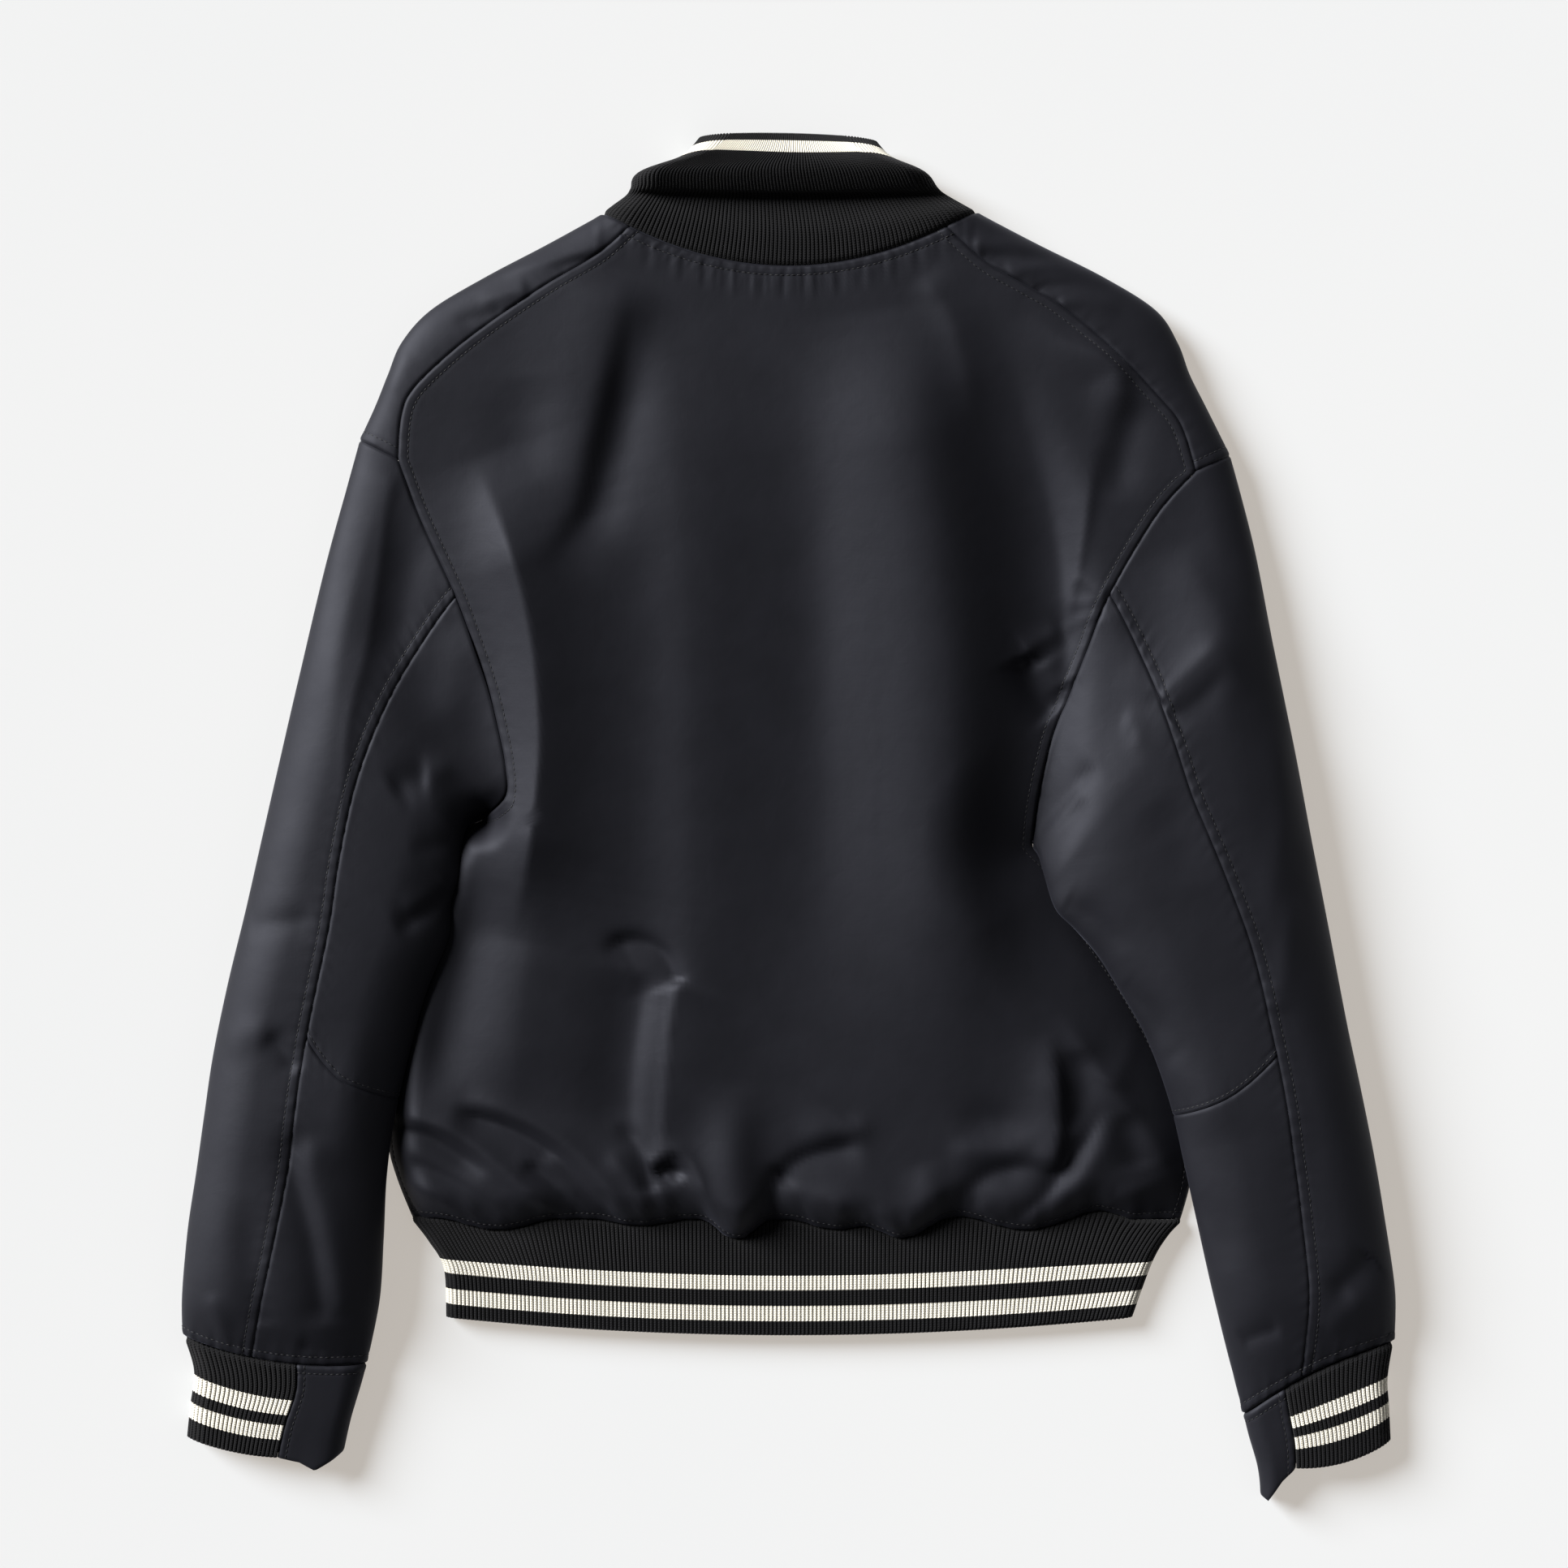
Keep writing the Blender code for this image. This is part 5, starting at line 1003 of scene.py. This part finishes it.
def lay_cloth(node, surface, u_span, v_span, seams, turn, step=None, hidden=None, seed=0.0):
    """One cut piece of nylon over its solid, with the work of its seams and its stitches."""
    settings = bpy.context.scene.jacket
    step = step or settings.mesh_step
    u, v = even_grid(surface, u_span, v_span, seams, step, hidden)
    points = surface(u, v)
    normals = grid_normals(points, turn)
    gaps = border_gaps(points)
    rise = np.zeros(u.shape)
    for number, (border, seam) in enumerate(seams.items()):
        gap, run = gaps[border]
        rise = rise + seam_rise(seam, gap, run, seed + 1.7 * number)
    points = points + normals * rise[..., None]
    points[..., 2] = np.maximum(points[..., 2], 0.0)
    uv = np.stack([running_length(points, 1), running_length(points, 0)], axis=-1)
    piece = add_piece(f"{node}_cloth", mesh_from_grid(node, points, turn, uv),
                      nylon_finish(), [node])
    thicken(piece, settings.cloth_thickness)
    normals = grid_normals(points, turn)
    lines = [stitch_line(border, gaps[border][0], points, normals, seam.stitch * MM)
             for border, seam in seams.items() if seam.stitch]
    others = []
    if lines:
        others = [sew_stitches(f"{node}_stitches", lines, thread_finish(), settings)]


# A stretch of a knit band: its ends round the band, its ribs, and mesh columns to a rib
Stretch = namedtuple("Stretch", "start end ribs columns")


def knit_columns(stretches):
    """Column places round a knit band, and the number of the rib at each."""
    places, numbers = [], []
    first = 0.0
    for stretch in stretches:
        count = stretch.ribs * stretch.columns
        places.append(np.linspace(stretch.start, stretch.end, count + 1)[:-1])
        numbers.append(first + np.arange(count) / stretch.columns)
        first += stretch.ribs
    return np.append(np.concatenate(places), stretches[-1].end), np.append(
        np.concatenate(numbers), first)


SEAM_RELIEF = 0.35          # share of the ribs' height that is left at the seam
KNIT_RISE = 4.0 * MM        # distance over which they rise to their full height
KNIT_GROOVE = 1.6 * MM      # width of the groove at the seam
KNIT_SAMPLES = 161


def lay_knit(node, surface, stretches, v_span, turn, step, bands, from_end):
    """One band of rib knit over its solid: raised ribs, and a map in ribs and millimetres."""
    settings = bpy.context.scene.jacket
    columns, numbers = knit_columns(stretches)
    coarse_u, coarse_v = np.meshgrid(np.linspace(columns[0], columns[-1], KNIT_SAMPLES),
                                     np.linspace(*v_span, KNIT_SAMPLES))
    length = running_length(surface(coarse_u, coarse_v), 0).mean(axis=1)
    spaces = max(3, round(length[-1] / step))
    nodes = stations(length[-1], crowd(KNIT_SEAM), NO_EDGE, spaces)
    u, v = np.meshgrid(columns, np.interp(nodes, length, coarse_v[:, 0]))
    points = surface(u, v)
    down = running_length(points, 0)
    normals = grid_normals(points, turn)
    rib = np.sqrt(np.clip(1.0 - (2.0 * (numbers % 1.0) - 1.0) ** 2, 0.0, 1.0))
    at_seam = SEAM_RELIEF + (1.0 - SEAM_RELIEF) * step_up(down / KNIT_RISE)
    rise = RIB_RELIEF * (rib[None, :] - 0.5) * at_seam
    rise = rise - KNIT_SEAM.dip * MM * np.exp(-(down / KNIT_GROOVE) ** 2)
    points = points + normals * rise[..., None]
    points[..., 2] = np.maximum(points[..., 2], 0.0)
    distance = (down[-1:] - down if from_end else down * (length[-1] / down[-1:])) / MM
    uv = np.stack([np.broadcast_to(numbers, u.shape), distance], axis=-1)
    piece = add_piece(f"{node}_knit", mesh_from_grid(node, points, turn, uv),
                      knit_finish(node, bands), [node])
    thicken(piece, settings.knit_thickness)


# ---------------------------------------------------------------- finishes

def srgb(*values):
    """A colour as Blender's linear values, from 0-255 display values."""
    return tuple((v / 255 / 12.92 if v <= 10 else ((v / 255 + 0.055) / 1.055) ** 2.4)
                 for v in values) + (1.0,)


class Finish:
    """A material under construction: a shader, and nodes that are added and joined to it."""

    def __init__(self, name):
        self.material = bpy.data.materials.new(name)
        self.material.use_nodes = True
        self.tree = self.material.node_tree
        self.shader = self.tree.nodes["Principled BSDF"]

    def add(self, kind, inputs=(), **settings):
        return add_node(self.tree, kind, inputs, **settings)

    def group(self, group, **inputs):
        node = self.tree.nodes.new("ShaderNodeGroup")
        node.node_tree = group
        join(self.tree, node, inputs)
        return node

    def shade(self, **inputs):
        names = {key.replace("_", " ").title(): value for key, value in inputs.items()}
        names = {name.replace("Ior", "IOR"): value for name, value in names.items()}
        join(self.tree, self.shader, names)

    def mix(self, factor, first, second, blend="MIX"):
        """A colour between two others, or their product."""
        node = self.add("ShaderNodeMix", data_type="RGBA", blend_type=blend)
        join(self.tree, node, {"Factor": factor, "A": first, "B": second})
        return node.outputs["Result"]

    def relief(self, height, distance, strength):
        """A normal bent by a height."""
        inputs = {"Height": height, "Distance": distance, "Strength": strength}
        return self.add("ShaderNodeBump", inputs).outputs["Normal"]

    def map_uv(self):
        return self.add("ShaderNodeTexCoord").outputs["UV"]

    def place(self):
        return self.add("ShaderNodeTexCoord").outputs["Object"]


def join(tree, node, inputs):
    """Sets a node's inputs: a socket is linked, and anything else is set as a value."""
    pairs = inputs.items() if isinstance(inputs, dict) else enumerate(inputs)
    for key, value in pairs:
        if isinstance(value, bpy.types.NodeSocket):
            tree.links.new(value, node.inputs[key])
        elif value is not None:
            node.inputs[key].default_value = value


def add_node(tree, kind, inputs=(), **settings):
    node = tree.nodes.new(kind)
    for key, value in settings.items():
        setattr(node, key, value)
    join(tree, node, inputs)
    return node


def math_in(tree, operation, *inputs):
    return add_node(tree, "ShaderNodeMath", inputs, operation=operation).outputs[0]


def ramp_in(tree, value, low, high, start, end):
    """Maps a value from one range to another, with soft ends."""
    node = add_node(tree, "ShaderNodeMapRange", (value, low, high, start, end))
    node.interpolation_type = "SMOOTHSTEP"
    return node.outputs[0]


def new_group(name, inputs, outputs):
    """An empty node group with its sockets; gives the group, its inputs and its output node."""
    group = bpy.data.node_groups.new(name, "ShaderNodeTree")
    for label, kind in inputs:
        group.interface.new_socket(label, in_out="INPUT", socket_type=kind)
    for label, kind in outputs:
        group.interface.new_socket(label, in_out="OUTPUT", socket_type=kind)
    source = group.nodes.new("NodeGroupInput")
    return group, source.outputs, group.nodes.new("NodeGroupOutput")


def crinkle_group():
    """Height of the soft crumple and the weave of thin nylon, in mm."""
    group = bpy.data.node_groups.get("Nylon crinkle")
    if group:
        return group
    group, given, out = new_group("Nylon crinkle", [("Place", "NodeSocketVector")],
                                  [("Height", "NodeSocketFloat"), ("Mottle", "NodeSocketFloat")])
    place = given["Place"]
    crumple = add_node(group, "ShaderNodeTexNoise",
                       {"Vector": place, "Scale": 34.0, "Detail": 2.0, "Roughness": 0.45})
    crease = add_node(group, "ShaderNodeTexNoise",
                      {"Vector": place, "Scale": 95.0, "Detail": 3.0, "Roughness": 0.5,
                       "Distortion": 0.6})
    fine = add_node(group, "ShaderNodeTexNoise",
                    {"Vector": place, "Scale": 420.0, "Detail": 2.0, "Roughness": 0.5})
    threads = [add_node(group, "ShaderNodeTexWave",
                        {"Vector": place, "Scale": 480.0, "Distortion": 0.4},
                        bands_direction=axis).outputs["Fac"] for axis in ("X", "Y")]
    weave = math_in(group, "MULTIPLY", *threads)
    height = 0.0
    for value, share in ((crumple.outputs["Fac"], 0.45), (crease.outputs["Fac"], 0.13),
                         (fine.outputs["Fac"], 0.02), (weave, 0.012)):
        height = math_in(group, "MULTIPLY_ADD", value, share, height)
    join(group, out, {"Height": height, "Mottle": crumple.outputs["Fac"]})
    return group


def nylon_finish():
    """Black nylon satin: deep, a little blue in the light, with a soft crumple."""
    found = bpy.data.materials.get("Black nylon satin")
    if found:
        return found
    finish = Finish("Black nylon satin")
    crinkle = finish.group(crinkle_group(), Place=finish.place())
    color = finish.mix(crinkle.outputs["Mottle"], srgb(17, 17, 21), srgb(22, 22, 27))
    relief = finish.relief(crinkle.outputs["Height"], 1.0 * MM, 0.8)
    rough = ramp_in(finish.tree, crinkle.outputs["Mottle"], 0.2, 0.8, 0.59, 0.64)
    finish.shade(base_color=color, roughness=rough, normal=relief,
                 sheen_weight=0.06, sheen_roughness=0.4,
                 sheen_tint=(0.72, 0.76, 1.0, 1.0), specular_ior_level=0.26,
                 specular_tint=(0.82, 0.85, 1.0, 1.0))
    return finish.material


def stitch_group():
    """Height of the knit's small V stitches, a band mask with saw-toothed edges, and a mask of
    painted shade in the grooves between ribs.
    """
    group = bpy.data.node_groups.get("Rib stitches")
    if group:
        return group
    limits = [(label, "NodeSocketFloat") for label in ("Low 1", "High 1", "Low 2", "High 2")]
    group, given, out = new_group("Rib stitches", [("Map", "NodeSocketVector"), *limits],
                                  [("Height", "NodeSocketFloat"), ("Band", "NodeSocketFloat"),
                                   ("Groove shade", "NodeSocketFloat")])
    parts = add_node(group, "ShaderNodeSeparateXYZ", (given["Map"],))
    rib, down = parts.outputs["X"], parts.outputs["Y"]
    in_rib = math_in(group, "FRACT", rib)
    from_middle = math_in(group, "ABSOLUTE", math_in(group, "SUBTRACT", in_rib, 0.5))
    slant = math_in(group, "MULTIPLY_ADD", from_middle, 1.6, down)
    loops = math_in(group, "SINE", math_in(group, "MULTIPLY", slant, 2.0 * math.pi / 1.5))
    split = ramp_in(group, from_middle, 0.0, 0.12, 0.0, 1.0)
    height = math_in(group, "MULTIPLY_ADD", loops, 0.12, math_in(group, "MULTIPLY", split, 0.18))
    edge = math_in(group, "MULTIPLY_ADD", from_middle, 0.9, down)
    bands = []
    for number in (1, 2):
        above = math_in(group, "GREATER_THAN", edge, given[f"Low {number}"])
        below = math_in(group, "LESS_THAN", edge, given[f"High {number}"])
        bands.append(math_in(group, "MULTIPLY", above, below))
    band = math_in(group, "MAXIMUM", *bands)
    # painted shade: 1 in the grooves between ribs, where the yarn's colour is darkened
    groove = ramp_in(group, from_middle, 0.30, 0.5, 0.0, 1.0)
    join(group, out, {"Height": height, "Band": band, "Groove shade": groove})
    return group


def knit_finish(name, bands):
    """Rib knit in black, with cream bands between the given distances in mm, and painted shade
    darkening the yarn in the grooves between ribs.
    """
    finish = Finish(f"Rib knit, {name.replace('_', ' ')}")
    limits = [edge for band in bands for edge in band] + [-1.0, -1.0]
    knit = finish.group(stitch_group(), **dict(zip(("Map", "Low 1", "High 1", "Low 2", "High 2"),
                                                   (finish.map_uv(), *limits))))
    place = finish.place()
    fibre = finish.add("ShaderNodeTexNoise", {"Vector": place, "Scale": 1500.0, "Detail": 2.0})
    wear = finish.add("ShaderNodeTexNoise", {"Vector": place, "Scale": 60.0, "Detail": 2.0})
    black = finish.mix(wear.outputs["Fac"], srgb(12, 12, 14), srgb(20, 20, 23))
    cream = finish.mix(wear.outputs["Fac"], srgb(236, 230, 214), srgb(247, 243, 231))
    yarn = finish.mix(knit.outputs["Band"], black, cream)
    # painted shade: the yarn's colour is multiplied down in the grooves between ribs
    deep = finish.mix(knit.outputs["Groove shade"], yarn, (0.16, 0.155, 0.15, 1.0), "MULTIPLY")
    height = math_in(finish.tree, "MULTIPLY_ADD", fibre.outputs["Fac"], 0.12,
                     knit.outputs["Height"])
    finish.shade(base_color=deep, roughness=0.85, normal=finish.relief(height, 1.0 * MM, 0.9),
                 sheen_weight=0.06, sheen_roughness=0.5, specular_ior_level=0.2)
    return finish.material


def thread_finish():
    """Black polyester thread, twisted."""
    found = bpy.data.materials.get("Black thread")
    if found:
        return found
    finish = Finish("Black thread")
    twist = finish.add("ShaderNodeTexNoise", {"Vector": finish.place(), "Scale": 2500.0})
    finish.shade(base_color=srgb(22, 22, 25), roughness=0.6,
                 normal=finish.relief(twist.outputs["Fac"], 0.1 * MM, 0.6))
    return finish.material


def snap_finish():
    """Black enamel on a brass snap cap, rubbed a little."""
    finish = Finish("Black enamelled snap")
    rub = finish.add("ShaderNodeTexNoise", {"Vector": finish.place(), "Scale": 900.0})
    rough = ramp_in(finish.tree, rub.outputs["Fac"], 0.3, 0.7, 0.28, 0.42)
    worn = ramp_in(finish.tree, rub.outputs["Fac"], 0.62, 0.8, 0.0, 0.5)
    color = finish.mix(worn, srgb(34, 34, 36), srgb(70, 66, 60))
    finish.shade(base_color=color, roughness=rough, metallic=0.6)
    return finish.material


def floor_finish():
    """Pale matte board, slightly uneven, with a painted warm glow that keeps its shadows pale."""
    finish = Finish("Pale board")
    grain = finish.add("ShaderNodeTexNoise", {"Vector": finish.place(), "Scale": 3.0})
    color = finish.mix(grain.outputs["Fac"], srgb(156, 164, 172), srgb(160, 167, 174))
    # painted light: a warm glow of its own that lifts and warms the shadows cast on it
    finish.shade(base_color=color, roughness=0.9, specular_ior_level=0.1,
                 emission_color=(1.0, 0.92, 0.83, 1.0), emission_strength=FLOOR_PAINTED_GLOW)
    return finish.material


# ---------------------------------------------------------------- the pieces

def build_back():
    seams = {"first_row": NECK_SEAM, "last_row": HEM_SEAM, "first_column": ARMHOLE_SEAM,
             "last_column": ARMHOLE_SEAM}
    lay_cloth("back_panel", back_surface, (0.0, 1.0), (0.0, 3.0), seams, TURN["left"], seed=0.4)


def build_fronts():
    seams = {"first_row": UNDER_SEAM, "last_row": UNDER_SEAM, "last_column": TURNED_EDGE}
    for side in SIDES:
        lay_cloth(f"front_{side}", front_surface(side), (0.0, 1.0), (0.0, 3.0), seams,
                  -TURN[side], step=FRONT_STEP)


def build_shoulders():
    seams = {"first_column": UNDER_SEAM, "last_column": SHOULDER_SEAM, "first_row": SHOULDER_SEAM,
             "last_row": SHOULDER_STITCHED}
    for side in SIDES:
        lay_cloth(f"shoulder_{side}", shoulder_surface(side), (-1.0, 1.0), (0.0, 1.0), seams,
                  TURN[side], step=SHOULDER_STEP, hidden=lambda u: u < -0.3, seed=2.0)


def elbow_row(side, u):
    """Where the elbow seam crosses the sleeve at u, from the back seam to the under seam."""
    at_seam, at_edge = ELBOW_ROW[side]
    f = np.clip(u - 1.0, 0.0, 1.0)
    return at_seam + (at_edge - at_seam) * (1.0 - (1.0 - f) ** 2.2)


def build_sleeves():
    last = len(SLEEVE_SECTIONS["left"]) - 1.0
    for side in SIDES:
        surface = sleeve_surface(side)
        lay_cloth(f"sleeve_outer_{side}", surface, (-1.0, 1.0), (0.0, last),
                  {"first_row": SLEEVE_HEAD, "last_row": CUFF_SEAM, "first_column": UNDER_SEAM,
                   "last_column": SLEEVE_STITCHED}, TURN[side], hidden=lambda u: u < -0.25,
                  seed=1.0)

        def upper(u, f):
            return surface(u, f * elbow_row(side, u))

        def lower(u, f):
            elbow = elbow_row(side, u)
            return surface(u, elbow + f * (last - elbow))

        lay_cloth(f"sleeve_inner_{side}", upper, (1.0, 3.0), (0.0, 1.0),
                  {"first_row": SLEEVE_HEAD, "last_row": ELBOW_STITCHED,
                   "first_column": SLEEVE_PLAIN, "last_column": UNDER_SEAM}, TURN[side],
                  hidden=lambda u: u > 2.3, seed=2.6)
        lay_cloth(f"sleeve_lower_{side}", lower, (1.0, 3.0), (0.0, 1.0),
                  {"first_row": ELBOW_SEAM, "last_row": CUFF_SEAM,
                   "first_column": SLEEVE_PLAIN, "last_column": UNDER_SEAM}, TURN[side],
                  hidden=lambda u: u > 2.3, seed=3.9)


def build_cuffs():
    for side in SIDES:
        surface = cuff_surface(side)
        ribs = CUFF_RIBS[side]
        lay_knit(f"cuff_rib_{side}", surface,
                 [Stretch(-1.0, 0.0, ribs - CUFF_RIBS_UNDER, 3), Stretch(0.0, 1.0, ribs, 7)],
                 (0.0, 3.0), TURN[side], KNIT_STEP["cuff"], CUFF_BANDS[side], from_end=False)
        lay_cloth(f"cuff_strip_{side}", surface, (1.0, 3.0), (0.0, 3.0),
                  {"first_row": STRIP_SEAM, "first_column": STRIP_SEAM,
                   "last_row": TURNED_EDGE, "last_column": UNDER_SEAM}, TURN[side],
                  step=STRIP_STEP, hidden=lambda u: u > 2.2, seed=5.0)


def build_band(name, surface, rows, turn, columns_under, bands):
    """A knit band that runs round the body: over the back, and under both halves of the front."""
    ribs = round(RIBBED_LENGTH[name] / RIB_PITCH)
    lay_knit(f"{name}_rib", surface,
             [Stretch(-1.0, 0.0, ribs // 2, columns_under), Stretch(0.0, 2.0, ribs, 6),
              Stretch(2.0, 3.0, ribs // 2, columns_under)], (0.0, len(rows) - 1.0), turn,
             KNIT_STEP[name], bands, from_end=True)


def build_hem():
    build_band("hem", hem_surface, HEM_ROWS, TURN["left"], 2, HEM_BANDS)


def build_collar():
    build_band("collar", collar_surface, COLLAR_ROWS, TURN["right"], 3, COLLAR_BANDS)


def build_snaps():
    finish = snap_finish()
    for number in range(SNAP_COUNT):
        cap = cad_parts[f"snap_cap_{number + 1}"]
        cap.data.materials.clear()
        cap.data.materials.append(finish)


# ---------------------------------------------------------------- the stage

def add_light(name, lamp_type, place, strength, color, **shape):
    """A lamp that looks at the jacket; shape holds the settings of its kind."""
    lamp = bpy.data.lights.new(name, lamp_type)
    for key, value in shape.items():
        setattr(lamp, key, value)
    lamp.energy = strength
    lamp.color = color
    light = bpy.data.objects.new(name, lamp)
    light.location = place
    light.rotation_euler = (-Vector(place)).to_track_quat("-Z", "Y").to_euler()
    bpy.context.scene.collection.objects.link(light)


def build_stage():
    settings = bpy.context.scene.jacket
    scene = bpy.context.scene
    board = bmesh.new()
    bmesh.ops.create_grid(board, x_segments=8, y_segments=8, size=FLOOR_HALF)
    data = bpy.data.meshes.new("floor")
    board.to_mesh(data)
    board.free()
    floor = bpy.data.objects.new("floor", data)
    floor.location.z = -FLOOR_DROP
    data.materials.append(floor_finish())
    scene.collection.objects.link(floor)
    add_light("window_light", "SUN", WINDOW_PLACE, settings.window_strength,
              (1.0, 0.995, 0.985), angle=WINDOW_ANGLE)
    add_light("room_light", "AREA", ROOM_PLACE, settings.room_watts, (1.0, 0.97, 0.93),
              shape="DISK", size=ROOM_SIZE)
    world = bpy.data.worlds.new("Soft room")
    world.use_nodes = True
    sky = world.node_tree.nodes["Background"]
    sky.inputs["Color"].default_value = (0.97, 0.98, 1.0, 1.0)
    sky.inputs["Strength"].default_value = settings.sky_strength
    scene.world = world
    scene.view_settings.view_transform = "Standard"
    lens = bpy.data.cameras.new("camera")
    lens.lens = LENS
    lens.sensor_width = SENSOR
    camera = bpy.data.objects.new("camera", lens)
    camera.location = (*FRAME_CENTRE, FRAME_LEVEL + FRAME_WIDTH * LENS / SENSOR)
    scene.collection.objects.link(camera)
    scene.camera = camera


# ---------------------------------------------------------------- settings and operators

class JacketSettings(bpy.types.PropertyGroup):
    """Sizes and lights that the operators read."""

    mesh_step: FloatProperty(
        name="Mesh step", description="Spacing of the cloth's mesh", default=0.0030,
        min=0.001, unit="LENGTH")
    cloth_thickness: FloatProperty(
        name="Cloth", description="Thickness of shell and lining", default=0.0012, unit="LENGTH")
    knit_thickness: FloatProperty(
        name="Knit", description="Thickness of the doubled rib", default=0.0022, unit="LENGTH")
    stitch_pitch: FloatProperty(
        name="Stitch pitch", description="From one stitch to the next", default=0.0034,
        unit="LENGTH")
    stitch_length: FloatProperty(
        name="Stitch length", description="Thread that shows in one stitch", default=0.0027,
        unit="LENGTH")
    thread_width: FloatProperty(
        name="Thread", description="Thickness of the thread", default=0.00060, unit="LENGTH")
    window_strength: FloatProperty(
        name="Window light", description="Soft light from the upper left", default=8.0)
    room_watts: FloatProperty(
        name="Room light", description="Weak light from the right", default=5.0)
    sky_strength: FloatProperty(
        name="Fill", description="Even light from all round", default=0.06)


class JacketBuilder:
    """What the operators share: each runs its own build function."""

    bl_options = {"REGISTER", "UNDO"}

    def execute(self, context):
        self.build()
        return {"FINISHED"}


class JACKET_OT_back(JacketBuilder, bpy.types.Operator):
    """Lay the back panel"""

    bl_idname, bl_label = "jacket.back", "Back"
    build = staticmethod(build_back)


class JACKET_OT_fronts(JacketBuilder, bpy.types.Operator):
    """Lay both fronts, lapped at the centre"""

    bl_idname, bl_label = "jacket.fronts", "Fronts"
    build = staticmethod(build_fronts)


class JACKET_OT_shoulders(JacketBuilder, bpy.types.Operator):
    """Lay the shoulder pieces"""

    bl_idname, bl_label = "jacket.shoulders", "Shoulders"
    build = staticmethod(build_shoulders)


class JACKET_OT_sleeves(JacketBuilder, bpy.types.Operator):
    """Lay the three pieces of each sleeve"""

    bl_idname, bl_label = "jacket.sleeves", "Sleeves"
    build = staticmethod(build_sleeves)


class JACKET_OT_cuffs(JacketBuilder, bpy.types.Operator):
    """Lay the striped cuffs and their cloth strips"""

    bl_idname, bl_label = "jacket.cuffs", "Cuffs"
    build = staticmethod(build_cuffs)


class JACKET_OT_hem(JacketBuilder, bpy.types.Operator):
    """Lay the striped hem band"""

    bl_idname, bl_label = "jacket.hem", "Hem band"
    build = staticmethod(build_hem)


class JACKET_OT_collar(JacketBuilder, bpy.types.Operator):
    """Lay the rolled collar"""

    bl_idname, bl_label = "jacket.collar", "Collar"
    build = staticmethod(build_collar)


class JACKET_OT_snaps(JacketBuilder, bpy.types.Operator):
    """Finish the snap caps"""

    bl_idname, bl_label = "jacket.snaps", "Snaps"
    build = staticmethod(build_snaps)


class JACKET_OT_stage(JacketBuilder, bpy.types.Operator):
    """Add the floor, the lights and the camera"""

    bl_idname, bl_label = "jacket.stage", "Stage"
    build = staticmethod(build_stage)


OPERATORS = (JACKET_OT_stage, JACKET_OT_fronts, JACKET_OT_back, JACKET_OT_shoulders,
             JACKET_OT_sleeves, JACKET_OT_cuffs, JACKET_OT_hem, JACKET_OT_collar,
             JACKET_OT_snaps)


class JACKET_PT_panel(bpy.types.Panel):
    """The jacket's settings and operators"""

    bl_label = "Varsity jacket"
    bl_space_type = "VIEW_3D"
    bl_region_type = "UI"
    bl_category = "Jacket"

    def draw(self, context):
        for name in JacketSettings.__annotations__:
            self.layout.prop(context.scene.jacket, name)
        for kind in OPERATORS:
            self.layout.operator(kind.bl_idname)


CLASSES = (JacketSettings, *OPERATORS, JACKET_PT_panel)


def register():
    for kind in CLASSES:
        bpy.utils.register_class(kind)
    bpy.types.Scene.jacket = PointerProperty(type=JacketSettings)


def unregister():
    del bpy.types.Scene.jacket
    for kind in reversed(CLASSES):
        bpy.utils.unregister_class(kind)


def main():
    register()
    for kind in OPERATORS:
        name = kind.bl_idname.split(".")[1]
        result = getattr(bpy.ops.jacket, name)()
        if result != {"FINISHED"}:
            raise RuntimeError(f"{kind.bl_label} wasn't built")


if __name__ == "__main__":
    main()
